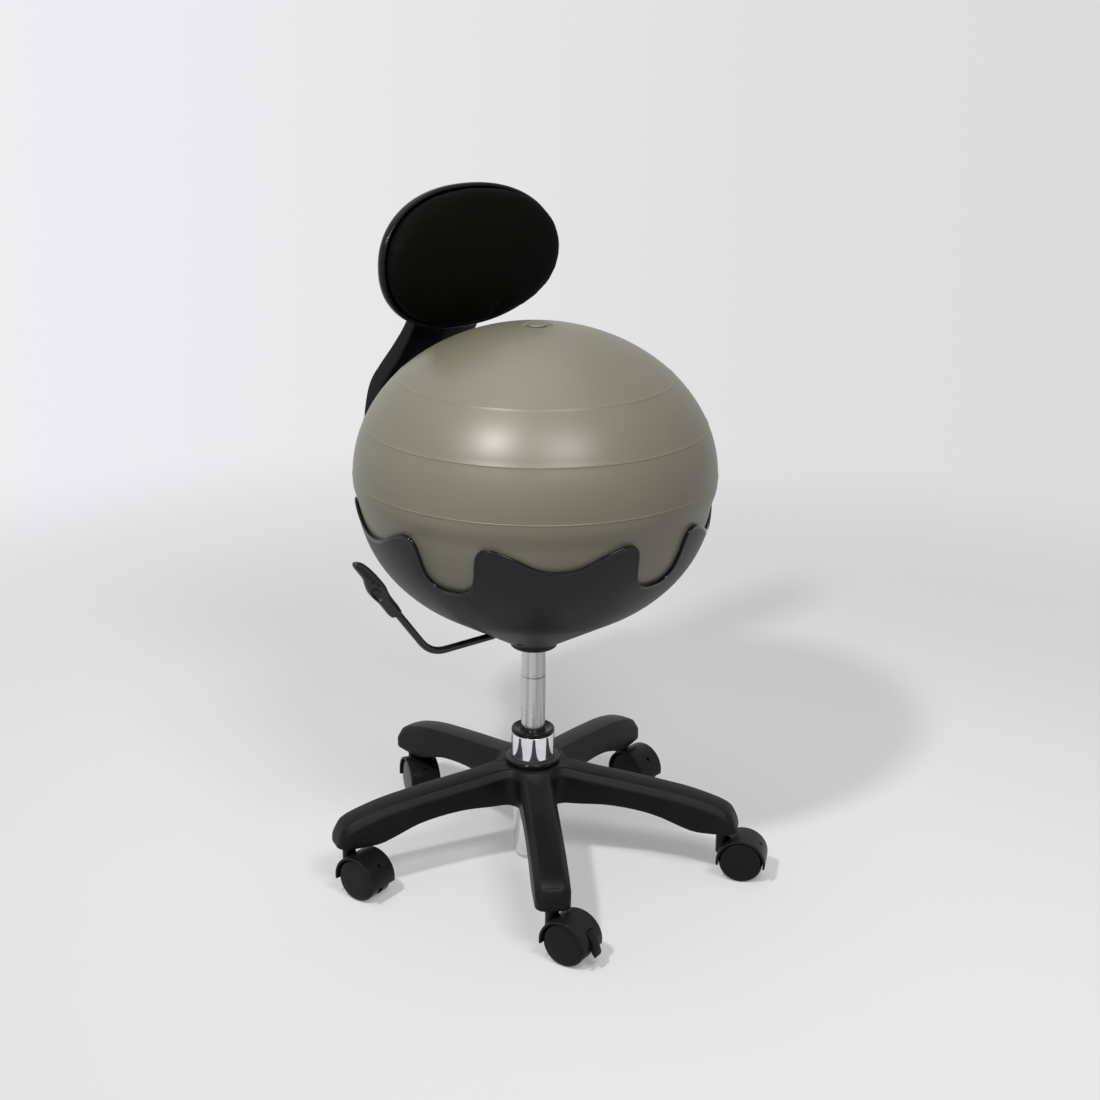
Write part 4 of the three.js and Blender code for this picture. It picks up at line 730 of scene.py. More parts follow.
def fill_inside(points, faces, start, crown, centre_r, centre_z, bore):
    """Closes a base ring: strips across each arm, and a round hub out to the arms' roots."""
    def put(p):
        points.append(tuple(p))
        return len(points) - 1

    roots = []
    for arm in range(ARMS):
        first = start + arm * ARM_COUNT
        rows = []
        for i in range(ROOT, HALF_COUNT - 1):
            left, right = first + i, first + ARM_COUNT - i
            a, b = np.array(points[left]), np.array(points[right])
            swell = crown * between(math.hypot(*(a + b)[:2] / 2), 36, 76)
            inner = []
            for t in np.arange(1, ACROSS) / ACROSS:
                p = a + (b - a) * t
                p[2] += swell * (1 - (2 * t - 1) ** 2)
                inner.append(put(p))
            rows.append([left, *inner, right])
        for row, following in zip(rows, rows[1:]):
            quads(faces, row, following, close=False)
        tip = first + HALF_COUNT - 1
        faces += [(a, b, tip) for a, b in zip(rows[-1], rows[-1][1:])]
        roots.append(rows[0])
    # The hub's edge: each arm's root, then the hollow round to the next arm
    loop = []
    for arm in range(ARMS):
        here, following = start + arm * ARM_COUNT, start + (arm + 1) % ARMS * ARM_COUNT
        loop += roots[arm] + [here + ARM_COUNT - i for i in range(ROOT - 1, 0, -1)]
        loop += [following + i for i in range(ROOT)]
    edge = [np.array(points[i]) for i in loop]
    angles = [math.atan2(p[1], p[0]) for p in edge]
    centre = [np.array([*p[:2] / math.hypot(p[0], p[1]) * centre_r, centre_z]) for p in edge]
    rings = [loop]
    for t in (0.35, 0.7, 1.0):
        rings.append([put(p + (target - p) * t) for p, target in zip(edge, centre)])
    for r, z in bore:
        rings.append([put((r * math.cos(a), r * math.sin(a), z)) for a in angles])
    for ring, following in zip(rings, rings[1:]):
        quads(faces, ring, following)


def base_shape():
    """The base's skin, from the roof of the underside's hollow over the arms' edges to their tops."""
    def inside(inset, height, longer=0):
        return base_ring(inset, height, 204.0 + longer, 8.0)

    rings = [inside(inset, lambda x: arm_top(x) - drop)
             for inset, drop in [(6.0, 5.6), (4.9, 6.1), (4.4, 7.4)]]
    rings += [inside(4.2 - 0.4 * t, lambda x: (arm_top(x) - 8) * (1 - t) + arm_low(x) * t)
              for t in (0.3, 0.62, 0.9)]
    rings += [inside(3.6, lambda x: arm_low(x) + 0.3), inside(3.3, arm_low, 0.6)]
    rings += [base_ring(inset, lambda x: arm_low(x) + up) for inset, up in [(1.0, 0), (0.3, 0.3), (0, 1)]]
    side = SHOULDERS[0][1]
    rings += [base_ring(0, lambda x: (arm_low(x) + 1) * (1 - t) + (arm_top(x) - side) * t)
              for t in (0.35, 0.7)]
    rings += [base_ring(inset, lambda x: max(arm_top(x) - drop, arm_low(x) + 1.5))
              for inset, drop in SHOULDERS]
    points, faces = grid(rings, close_columns=True)
    fill_inside(points, faces, (len(rings) - 1) * len(rings[0]), 1.0, 27.6, HUB_TOP,
                [(25.9, HUB_TOP), (25.4, HUB_TOP - 0.4), (25.3, HUB_TOP - 1.2), (25.3, 116.8),
                 (22.2, 77.4)])
    fill_inside(points, faces, 0, 0.0, 31.2, 112.4,
                [(29.2, 110.8), (28.8, 78.4), (28.2, 77.6), (27.4, 77.4), (22.2, 77.4)])
    return points, faces


BASE_AT = COLUMN @ Matrix.Rotation(math.radians(ARMS_START - 90), 4, "Z")
star = mesh_piece("star_base", base_shape(), smooth=38, at=BASE_AT)
hand_in(star, "base", "black_nylon", NYLON, "star_base")


def repeat(name, shape, places, material, at=COLUMN):
    """One shape set at every place by a node tree. A place is (point, turn about X, Y and Z, scale)."""
    model = mesh_piece(name + "_shape", shape, smooth=30, at=PLAIN)
    mesh = bpy.data.meshes.new(name)
    mesh.from_pydata([tuple((at @ Vector(p)) * MM) for p, _, _ in places], [], [])
    turns = mesh.attributes.new("turn", "FLOAT_VECTOR", "POINT")
    sizes = mesh.attributes.new("size", "FLOAT_VECTOR", "POINT")
    for k, (_, turn, size) in enumerate(places):
        x, y, z = (Matrix.Rotation(angle, 3, axis) for angle, axis in zip(turn, "XYZ"))
        turns.data[k].vector = (at.to_3x3() @ z @ y @ x).to_euler("XYZ")
        sizes.data[k].vector = size
    piece = new_object(name, mesh)

    tree = bpy.data.node_groups.new(name + "_places", "GeometryNodeTree")
    tree.interface.new_socket("Points", in_out="INPUT", socket_type="NodeSocketGeometry")
    shape_input = tree.interface.new_socket("Shape", in_out="INPUT", socket_type="NodeSocketObject")
    finish_input = tree.interface.new_socket("Finish", in_out="INPUT", socket_type="NodeSocketMaterial")
    tree.interface.new_socket("Pieces", in_out="OUTPUT", socket_type="NodeSocketGeometry")
    entry, leave, source, as_turn, spread, real, paint = (tree.nodes.new(kind) for kind in (
        "NodeGroupInput", "NodeGroupOutput", "GeometryNodeObjectInfo", "FunctionNodeEulerToRotation",
        "GeometryNodeInstanceOnPoints", "GeometryNodeRealizeInstances", "GeometryNodeSetMaterial"))
    turn, size = (tree.nodes.new("GeometryNodeInputNamedAttribute") for _ in range(2))
    for node, attribute in ((turn, "turn"), (size, "size")):
        node.data_type = "FLOAT_VECTOR"
        node.inputs["Name"].default_value = attribute
    for start, out, end, into in [
            (entry, "Points", spread, "Points"), (entry, "Shape", source, "Object"),
            (source, "Geometry", spread, "Instance"), (turn, "Attribute", as_turn, "Euler"),
            (as_turn, "Rotation", spread, "Rotation"), (size, "Attribute", spread, "Scale"),
            (spread, "Instances", real, "Geometry"), (real, "Geometry", paint, "Geometry"),
            (entry, "Finish", paint, "Material"), (paint, "Geometry", leave, "Pieces")]:
        tree.links.new(start.outputs[out], end.inputs[into])
    live = piece.modifiers.new("places", "NODES")
    live.node_group = tree
    live[shape_input.identifier] = model
    live[finish_input.identifier] = material
    finish_modifiers(piece)
    bpy.data.objects.remove(model)
    return piece


# Ribs under the base: across each arm, between the arms at the hub, and one along each arm
UNIT_BLOCK = block(-0.5, 0.5, -0.5, 0.5, -0.5, 0.5)
RIB_OVER, RIB_UNDER = 1.6, 4.6


def upright_rib(out, angle, low, high, thick, wide):
    """A rib's place, turn and size, at a distance from the column."""
    middle = (math.cos(angle) * out, math.sin(angle) * out, (high + low) / 2)
    return middle, (0, 0, angle), (thick, wide, high - low)


ribs = []
for arm in range(ARMS):
    for x in (66, 108, 150, 190):
        ribs.append(upright_rib(x, PITCH * arm, arm_low(x) + RIB_OVER, arm_top(x) - RIB_UNDER, 2.6,
                                2 * (ARM_HALF - 4.2) + 1.2))
    ribs.append(upright_rib(34, PITCH * arm + PITCH / 2, 80.0, 114.0, 12.0, 2.6))
hand_in(repeat("base_ribs", UNIT_BLOCK, ribs, NYLON, at=BASE_AT), "base", "black_nylon", NYLON)

rib_rows = []
for x in np.linspace(28, 205, 24):
    low, high = arm_low(x) + RIB_OVER, arm_top(x) - RIB_UNDER
    rib_rows.append([(x, -1.3, low), (x, 1.3, low), (x, 1.3, high), (x, -1.3, high)])
runs = join_shapes(*(moved(capped(rib_rows), Matrix.Rotation(PITCH * arm, 4, "Z")) for arm in range(ARMS)))
hand_in(mesh_piece("base_long_ribs", runs, at=BASE_AT), "base", "black_nylon", NYLON)

# The lift: profiles of (radius, height) with the radius of each corner's rounding
TUBE_TOP, CAP_TOP, CYLINDER_LOW, CYLINDER_TOP, TUBE_R = 158.4, 163.7, 85.5, 304.0, 25.0
ring = rounded([(25.3, 0.3), (31.5, 0.3), (31.5, 4.6), (29.8, 5.3), (25.3, 5.3)], [0, 0.5, 1.6, 1.2, 0])
tube = rounded([(19.5, 5.2), (20.6, 5.2), (21.9, 6.5), (21.9, 77.1), (TUBE_R, 116.9),
                (TUBE_R, TUBE_TOP - 0.8), (24.7, TUBE_TOP), (22.6, TUBE_TOP), (22.6, 114.2), (19.5, 111.8),
                (19.5, 12.0), (5.35, 12.0), (5.35, 9.0), (19.5, 9.0)],
               [0, 1.2, 1.0, 0, 0, 0.3, 0.3, *[0] * 7])
cap = rounded([(14.35, 114.5), (22.3, 114.5), (22.3, TUBE_TOP + 0.3), (TUBE_R, TUBE_TOP + 0.3),
               (TUBE_R, CAP_TOP - 1.2), (23.9, CAP_TOP), (21.8, CAP_TOP), (20.6, CAP_TOP - 0.9),
               (17.2, CAP_TOP - 2.1), (15.4, CAP_TOP - 2.4), (14.35, CAP_TOP - 2.9)],
              [0, 0, 0, 0.3, 1.2, 1.2, 0.8, 0.8, 0.6, 0.4, 0])
# The cylinder has a fine groove, and tapers into its socket in the mechanism plate
cylinder = [(11.8, CYLINDER_LOW), (13.4, CYLINDER_LOW), (14.0, 86.2), (14.0, 228.6), (13.7, 228.9),
            (12.9, 229.0), (12.9, 229.9), (13.7, 230.0), (13.75, 230.3), (13.7, 244), (13.2, CYLINDER_TOP),
            (4.35, CYLINDER_TOP), (4.35, 290), (11.8, 290)]
for name, profile, smooth_to, body, slot, material in [
        ("hub_ring", raised(ring, HUB_TOP), 40, "base", "gloss_black", GLOSS),
        ("outer_tube", tube, 30, "base", "chrome", CHROME),
        ("guide_bush", cap, 40, "base", "gloss_black", GLOSS),
        ("gas_cylinder", cylinder, 24, "seat", "steel", GROUND)]:
    piece = mesh_piece(name, turned(profile, 128, closed=True), smooth=smooth_to)
    hand_in(piece, body, slot, material, name)

# The casters, drawn with the stem on the upright axis and the wheels trailing along X
WHEEL_R, HOOD_IN, HOOD_OUT, HOOD_HALF = 25.0, 25.8, 28.5, 18.8
AXLE = (23.3, WHEEL_R)
TRAIL_HEADINGS = [14, 34.5, 3, -22.9, 10]
DIP = math.asin(4.5 / HOOD_OUT)
# The hood's windows: between two angles about the axle, with half their width and their depth
PEDAL_WINDOW, DRAIN_WINDOW = (-32, 40, 6.3, 22.8), (37.48, 46.52, 2.25, 25.3)


def from_axle(radius, angle):
    """A place in X and Z, at a distance and an angle from the axle."""
    return AXLE[0] + radius * math.cos(angle), AXLE[1] + radius * math.sin(angle)


PEDAL_PIVOT = from_axle(27.15, math.radians(36))


def lying(shape, centre=AXLE):
    """Turns a shape drawn round Z so that its axis lies along +Y through a place in X and Z."""
    x, z = centre
    return moved(shape, Matrix.Translation((x, 0, z)) @ Matrix.Rotation(-math.pi / 2, 4, "X"))


def arc_sweep(section, low, high, steps):
    """A closed (radius, across) section swept round the axle between two angles, ends closed."""
    rows = []
    for a in np.linspace(low, high, steps):
        places = [(*from_axle(r, a), y) for r, y in section]
        rows.append([(x, y, z) for x, z, y in places])
    return capped(rows)


def hood_model(braked):
    """A caster's hood with its web, neck and bores, and its window for the pedal or the drain."""
    half = HOOD_HALF
    section = rounded([(HOOD_IN, 0), (HOOD_IN, -half), (HOOD_OUT, -half), (HOOD_OUT, half), (HOOD_IN, half),
                       (HOOD_IN, 0)], [0, 0.35, 0.9, 0.9, 0.35, 0])[:-1]
    hood = mesh_piece("hood", arc_sweep(section, -DIP, math.pi + DIP, 72), at=PLAIN)
    web = arc(27, -DIP, math.pi + DIP, 60, AXLE) + arc(7, math.radians(218), math.radians(322), 14, AXLE)
    add(hood, plate(web, -2.8, 2.8))
    neck = rounded([(0, 30), (7.6, 30), (7.6, 56.4), (0, 56.4)], [0, 0, 1.0, 0])
    neck = mesh_piece("neck", turned(neck, 64), at=PLAIN)
    cut(neck, lying(bar(HOOD_IN, -30, 30, 96)))
    merge(hood, neck)
    cut(hood, bar(5.85, 45.1, 60, 48))
    cut(hood, lying(bar(2.8, -8, 8, 32)))
    low, high, wide, deep = PEDAL_WINDOW if braked else DRAIN_WINDOW
    window = [(deep, -wide), (31, -wide), (31, wide), (deep, wide)]
    cut(hood, arc_sweep(window, math.radians(low), math.radians(high), 16))
    if braked:
        cut(hood, lying(bar(1.05, -7.4, 7.4, 24), PEDAL_PIVOT))
    shade(hood.data, 32)
    return hood


def pedal_piece():
    """The brake pedal: a curved lever with a turned out toe, on its own pin."""
    outline = []
    for side in ([(36, 0), (14, 1.7), (-8, 3.4), (-16, 8.4)], [(-14, 9.2), (-8, 8.9), (14, 4.7), (36, 3)]):
        spots = [from_axle(HOOD_IN + 0.6 + out, math.radians(a)) for a, out in side]
        outline += [tuple(p) for p in curve_through(spots, 20)]
    piece = mesh_piece("pedal", plate(outline, -5.4, 5.4), at=PLAIN)
    for radius, half in ((1.3, 5.4), (0.8, 7.0)):
        add(piece, lying(bar(radius, -half, half, 24), PEDAL_PIVOT))
    round_off = piece.modifiers.new("round", "BEVEL")
    round_off.width = 0.5 * MM
    round_off.segments = 2
    round_off.limit_method = "ANGLE"
    round_off.angle_limit = math.radians(50)
    finish_modifiers(piece)
    shade(piece.data, 40)
    return piece


def copy_to(model, name, matrix):
    """A copy of a finished model with its mesh moved into place."""
    mesh = model.data.copy()
    mesh.name = name
    scaled = matrix.copy()
    scaled.translation = matrix.translation * MM
    mesh.transform(scaled)
    return new_object(name, mesh)


edge = WHEEL_R + 0.2
wheel = rounded([(2.85, 3.4), (6.5, 3.4), (6.5, 11.2), (edge - 3, 11.2), (edge - 3, 3.4), (edge, 3.4),
                 (edge, 14.2), (edge - 2, 16.4), (17, 17.0), (0, 17.3), (0, 14.6), (2.85, 14.6)],
                [0, 0.3, 0.6, 0.6, 0.3, 0.8, 1.4, 1.2, 6, 0, 0, 0])
wheel = lying(turned(wheel, 128, closed=True))
stem = turned([(0, 45.4), (5.2, 45.4), (5.5, 45.8), (5.5, 56.7), (6.4, 56.7), (6.6, 56.9), (6.6, 59.4),
               (6.4, 59.6), (5.5, 59.6), (5.5, 79), (4.7, 82), (0, 82)], 48)
plain_hood, braked_hood = hood_model(False), hood_model(True)
left_wheel = mesh_piece("wheel", wheel, smooth=30, at=PLAIN)
right_wheel = mesh_piece("wheel", moved(wheel, Matrix.Scale(-1, 4, (0, 1, 0))), smooth=30, at=PLAIN)
stem_model = mesh_piece("stem", stem, smooth=30, at=PLAIN)
pedal_model = pedal_piece()

for number, trail in enumerate(TRAIL_HEADINGS, 1):
    heading = math.radians(ARMS_START) + PITCH * (number - 1)
    place = Matrix.Translation((STEM_PLACE * math.sin(heading), -STEM_PLACE * math.cos(heading), 0))
    stand = COLUMN @ place @ Matrix.Rotation(math.radians(trail - 90), 4, "Z")
    hood_here = braked_hood if number == 1 else plain_hood
    pieces = [(hood_here, f"caster_hood_{number}", f"caster_{number}", "black_nylon", HOOD),
              (stem_model, f"caster_stem_{number}", "base", "steel", ZINC)]
    for side, model in (("left", left_wheel), ("right", right_wheel)):
        pieces.append((model, f"wheel_{side}_{number}", f"wheel_{side}_{number}", "gloss_black", GLOSS))
    if number == 1:
        pieces.append((pedal_model, "brake_pedal", "brake_pedal", "black_nylon", NYLON))
    for model, name, body, slot, material in pieces:
        hand_in(copy_to(model, name, stand), body, slot, material, name)
for model in (plain_hood, braked_hood, left_wheel, right_wheel, stem_model, pedal_model):
    bpy.data.objects.remove(model)

# The height lever: a bent rod on its pivot, drawn in X and Z
PIVOT = (-44.0, 303.9)
LEVER_END = np.array([-195.4, 0, LEVER_Z + 36.0])
LEVER_BEND = np.array([-154.0, 0, LEVER_Z - 17.2])
END_ALONG = (LEVER_END - LEVER_BEND) / np.linalg.norm(LEVER_END - LEVER_BEND)
ROD_R, IN_GRIP = 4.0, 22


def rounded_run(points, radii):
    """Straight runs with rounded corners, as a fine line of points."""
    points = [np.array(p, float) for p in points]
    line = [points[0]]
    for before, corner, after, radius in zip(points, points[1:], points[2:], radii):
        back = (before - corner) / np.linalg.norm(before - corner)
        ahead = (after - corner) / np.linalg.norm(after - corner)
        turn = math.pi - math.acos(float(np.clip(back @ ahead, -1, 1)))
        reach = radius * math.tan(turn / 2)
        line += bend(corner + back * reach, corner, corner + ahead * reach, 14)
    return np.array(line + [points[-1]])


def tube_along(path, radius, steps):
    """A round bar along points in a plane with Y across it."""
    tangents = np.gradient(path, axis=0)
    tangents /= np.linalg.norm(tangents, axis=1)[:, None]
    side = np.array([0, 1, 0])
    rows = [[p + radius * (math.cos(a) * side + math.sin(a) * np.cross(t, side))
             for a in np.linspace(0, TAU, steps, endpoint=False)] for p, t in zip(path, tangents)]
    return closed_skin(rows, path[0], path[-1])


run = rounded_run([(3, 0, LEVER_Z), (-26, 0, LEVER_Z), (-62, 0, LEVER_Z - 20.8), LEVER_BEND,
                   LEVER_END + END_ALONG * IN_GRIP], [10, 10, 46])
run = evenly(run, np.linspace(0, run_along(run)[-1], 150))
rod = mesh_piece("lever_rod", tube_along(run, ROD_R, 32), smooth=50)
add(rod, lying(bar(6.4, -5.6, 5.6, 40), PIVOT), at=COLUMN)
cut(rod, lying(bar(3.1, -8, 8, 32), PIVOT), at=COLUMN)
shade(rod.data, 40)
hand_in(rod, "lever", "black_nylon", GRIP, "lever_rod")

# The grip: its outline in shares of its length and width, and its sides from face to back as (inset, y)
GRIP_START = (-198.6, LEVER_Z + 35.8)
GRIP_LENGTH, GRIP_WIDTH, GRIP_LEAN = 93.0, 17.6, math.radians(129.16)
GRIP_SHARES = [(0.072, -0.26), (0.12, -0.33), (0.34, -0.31), (0.457, -0.37), (0.587, -0.36), (0.674, -0.21),
               (0.74, -0.07), (0.87, -0.035), (0.957, -0.01), (1, 0.094), (1.0, 0.27), (0.94, 0.49),
               (0.83, 0.63), (0.69, 0.69), (0.55, 0.7), (0.46, 0.68), (0.405, 0.61), (0.34, 0.53),
               (0.24, 0.49), (0.11, 0.46), (0.062, 0.4), (0.045, 0.2)]
GRIP_FACE = -4.5
GRIP_SIDE = [(2.0, GRIP_FACE), (1.2, -4.32), (0.55, -3.85), (0.15, -3.1), (0, -2.0), (0, -0.6), (0.2, 1.0),
             (0.65, 2.3), (1.3, 3.3), (2.1, 4.0)]


def on_grip(along, across, y=0.0):
    """A point of the grip from its place along it and across it, in millimetres."""
    c, s = math.cos(GRIP_LEAN), math.sin(GRIP_LEAN)
    return GRIP_START[0] + c * along + s * across, y, GRIP_START[1] + s * along - c * across


def drawn_in(outline, inset):
    """A closed outline moved in by a distance and evened a little."""
    if not inset:
        return outline
    ahead, behind = np.roll(outline, -1, 0), np.roll(outline, 1, 0)
    run = ahead - behind
    run /= np.linalg.norm(run, axis=1)[:, None]
    area = np.sum(outline[:, 0] * ahead[:, 1] - ahead[:, 0] * outline[:, 1])
    inward = np.stack([-run[:, 1], run[:, 0]], 1) * np.sign(area)
    line = outline + inward * inset
    for _ in range(3):
        line = line * 0.6 + (np.roll(line, 1, 0) + np.roll(line, -1, 0)) * 0.2
    return line


def groove(start, end, half, depth):
    """Cuts a round ended groove in the grip's face, from one place in shares to another."""
    a, b = (np.array(on_grip(s * GRIP_LENGTH, t * GRIP_WIDTH)) for s, t in (start, end))
    long = float(np.linalg.norm(b - a))
    quarter = math.pi / 2
    outline = arc(half, -quarter, quarter, 12, (long, 0)) + arc(half, quarter, 3 * quarter, 12)
    at = Matrix.Translation(a) @ Matrix.Rotation(-math.atan2(b[2] - a[2], b[0] - a[0]), 4, "Y")
    cut(grip, moved(plate(outline, -7, GRIP_FACE + depth), at), at=COLUMN)


flat = curve_through([(s * GRIP_LENGTH, t * GRIP_WIDTH) for s, t in GRIP_SHARES], 150, closed=True)
rows = [[on_grip(s, t, y) for s, t in drawn_in(flat, inset)] for inset, y in GRIP_SIDE]
grip = mesh_piece("lever_grip", capped(rows))
# A thumb hollow: a long ball cut into the face, with its radii along, out of and across the grip
hollow = turned([(math.sin(a), -math.cos(a)) for a in np.linspace(0, math.pi, 40)], 96)
HOLLOW_R, HOLLOW_DEEP = (11.5, 9, 7.2), 4.0
middle = on_grip(0.49 * GRIP_LENGTH, -0.12 * GRIP_WIDTH, GRIP_FACE - HOLLOW_R[1] + HOLLOW_DEEP)
at = Matrix.Translation(middle) @ Matrix.Rotation(-GRIP_LEAN, 4, "Y") @ Matrix.Diagonal((*HOLLOW_R, 1))
cut(grip, moved(hollow, at), at=COLUMN)
for start, end, deep in [((0.64, 0.187), (0.955, 0.075), 1.7), ((0.55, 0.33), (0.92, 0.225), 1.7),
                         ((0.74, 0.5), (0.89, 0.39), 0.7)]:
    groove(start, end, 1.2, 0.35)
    groove(start, end, 0.85, deep)
# The sleeve where the rod goes in
sleeve = rounded([(0, 5.5), (5.4, 5.5), (5.4, 26), (4.6, 33), (0, 35)], [0, 1.4, 4, 2, 0])
rod_turn = math.atan2(END_ALONG[2], END_ALONG[0])
at = Matrix.Translation(tuple(LEVER_END)) @ Matrix.Rotation(math.pi / 2 - rod_turn, 4, "Y")
add(grip, moved(turned(sleeve, 48), at), at=COLUMN)
shade(grip.data, 36)
hand_in(grip, "lever", "black_nylon", GRIP, "lever_grip")

# The back support beam: a channel from the bowl's cone up to the backrest
PAD_Y, PAD_Z = 117.5, 696.0
SHELL_BACK, SHELL_X, SHELL_Z, SHELL_CURVE = 11.5, 128.0, 79.5, 670.0
BEAM_HALF, FOOT_HALF, FOOT_THICK = 51.0, 22.0, 10.0
BEAM_CLEAR = 0.4
back_y = PAD_Y + SHELL_BACK + BEAM_CLEAR
# Stations are (y, z, thickness, half width): behind the shell, round the ball, round the bowl, on the cone
stations = [(back_y, 733.0, 13.0, 43.0), (back_y, 714.0, 13.0, 49.5), (back_y, PAD_Z, 13.0, BEAM_HALF),
            (back_y, PAD_Z - SHELL_Z / 2, 13.0, BEAM_HALF)]
for back, up, thick in [(0.735, 0.633, 0.72), (0.85, 0.474, 0.9), (0.965, 0.352, 0.96), (1.039, 0.262, 1),
                        (1.083, 0.136, 1), (1.1, -0.011, 1), (1.084, -0.154, 0.98)]:
    stations.append((BALL_R * back, BALL_Z + (PAD_Z - BALL_Z) * up, 20 * thick, BEAM_HALF))
for angle, clear, width in [(20, 0.55, 0.86), (34, 0.33, 0.68), (46, 0.14, 0.52)]:
    out, a = 24 * clear, math.radians(angle)
    stations.append(((BOWL_A + out) * math.cos(a), BOWL_Z - (BOWL_C + out) * math.sin(a),
                     FOOT_THICK * (1 + clear), BEAM_HALF * width))
for share in (0.93, 0.56, 0.2):
    stations.append((*on_cone(share, BEAM_CLEAR), FOOT_THICK, FOOT_HALF))
beam_line = curve_through(stations, 130)
tangent = np.gradient(beam_line[:, :2], axis=0)
tangent /= np.linalg.norm(tangent, axis=1)[:, None]
beam_out = np.stack([-tangent[:, 1], tangent[:, 0]], 1)
beam_run = run_along(beam_line[:, :2])
BEAM_LENGTH = beam_run[-1]
WALL, FLOOR, RIB_FOOT, RIB_LOW = 5.0, 5.0, 4.6, 0.8


def on_beam(i, section):
    """Points of a section of (across, out) pairs, set at one station of the beam."""
    y, z = beam_line[i, :2]
    return [(x, y + beam_out[i, 0] * d, z + beam_out[i, 1] * d) for x, d in section]


def beam_section(i):
    """The channel's outline at one station: closed at the top edge and on the foot."""
    _, _, thick, half = beam_line[i]
    run = beam_run[i]
    open_share = between(run, 5, 8) * between(BEAM_LENGTH - run, 62, 66)
    floor = FLOOR + (thick - 0.35 - FLOOR) * (1 - open_share)
    front = [(half - 0.6, thick), (half, thick - 0.6), (half, 3.2), (half - 0.5, 1.5), (half - 1.5, 0.5),
             (half - 3.2, 0), (half * 0.5, -0.15), (2.5, -0.55)]
    inside = [(half - WALL + 0.4, thick), (half - WALL, thick - 0.3), (half - WALL - 0.3, floor + 0.9),
              (half - WALL - 1.2, floor)]
    outline = [(-x, d) for x, d in front] + [(0, -0.8)] + front[::-1]
    outline += inside + [(-x, d) for x, d in inside[::-1]]
    # On the cone and behind the shell the front face is flat
    if between(run, 80, 100) * between(BEAM_LENGTH - run, 130, 150) < 0.5:
        outline = [(x, max(d, 0)) for x, d in outline]
    return on_beam(i, outline)


beam = capped([beam_section(i) for i in range(len(beam_line))])
hand_in(mesh_piece("back_support", beam, smooth=32), "seat", "black_nylon", NYLON, "back_support")

# Ribs in the channel: two along it, and nine across
ribbed = [i for i, run in enumerate(beam_run) if 7 < run < BEAM_LENGTH - 66]
strips = []
for side in (-1, 1):
    rows = []
    for i in ribbed:
        _, _, thick, half = beam_line[i]
        centre, edge = side * (half - WALL) / 3, thick - RIB_LOW
        rows.append(on_beam(i, [(centre - 1.5, RIB_FOOT), (centre + 1.5, RIB_FOOT), (centre + 1.2, edge),
                                (centre - 1.2, edge)]))
    strips.append(capped(rows))
hand_in(mesh_piece("support_long_ribs", join_shapes(*strips)), "seat", "black_nylon", NYLON)
crossing = []
for reach in np.linspace(58, BEAM_LENGTH - 76, 9):
    y, z, thick, half = (float(np.interp(reach, beam_run, beam_line[:, k])) for k in range(4))
    lean = math.atan2(*(float(np.interp(reach, beam_run, tangent[:, k])) for k in (1, 0)))
    middle = (RIB_FOOT + thick - RIB_LOW) / 2
    crossing.append(((0, y - math.sin(lean) * middle, z + math.cos(lean) * middle), (lean, 0, 0),
                     (2 * (half - RIB_FOOT), 2.4, thick - RIB_FOOT - RIB_LOW)))
hand_in(repeat("support_cross_ribs", UNIT_BLOCK, crossing, NYLON), "seat", "black_nylon", NYLON)


# The backrest: rounded oval rings, curved back towards the sides
def back_ring(inset, depth, scale=1.0, count=144, power=2.2):
    """A ring of the backrest, drawn in from its edge, at a depth behind the edge's front."""
    ring = []
    for k in range(count):
        c, s = math.cos(TAU * k / count), math.sin(TAU * k / count)
        x = scale * (SHELL_X - inset) * math.copysign(abs(c) ** (2 / power), c)
        z = scale * (SHELL_Z - inset) * math.copysign(abs(s) ** (2 / power), s)
        ring.append((x, PAD_Y + depth - x * x / (2 * SHELL_CURVE), PAD_Z + z))
    return ring


SHELL_INSIDE, SHELL_RECESS, PAD_INSIDE, PAD_SEAT = 5.2, 5.6, 7.2, 5.2
shell_rings = [back_ring(0, SHELL_BACK, s) for s in (0.05, 0.15, 0.3, 0.45, 0.6, 0.72)]
shell_rings += [back_ring(0, SHELL_BACK * d, s)
                for s, d in ((0.79, 0.99), (0.85, 0.97), (0.9, 0.94), (0.94, 0.89), (0.965, 0.83))]
# Round the edge to the front lip and in to the recess, as (inset, depth)
shell_rings += [back_ring(i, d) for i, d in (
    (2.2, 8.3), (1.3, 7.1), (0.6, 5.5), (0.15, 3.6), (0, 1.6), (0.1, 0), (0.45, -1.2), (1.1, -2.2),
    (2.0, -2.8), (3.1, -3.0), (4.1, -2.8), (4.9, -2.2), (5.3, -1.2), (5.5, 0.3), (5.6, 1.8))]
shell_rings += [back_ring(SHELL_INSIDE, d, s) for s, d in (
    (0.97, 3.2), (0.93, 4.6), (0.88, 5.4), (0.7, SHELL_RECESS), (0.4, SHELL_RECESS), (0.1, SHELL_RECESS))]
shell = closed_skin(shell_rings, (0, PAD_Y + SHELL_BACK, PAD_Z), (0, PAD_Y + SHELL_RECESS, PAD_Z))
hand_in(mesh_piece("backrest_shell", shell, smooth=50), "seat", "gloss_black", SATIN, "backrest_shell")

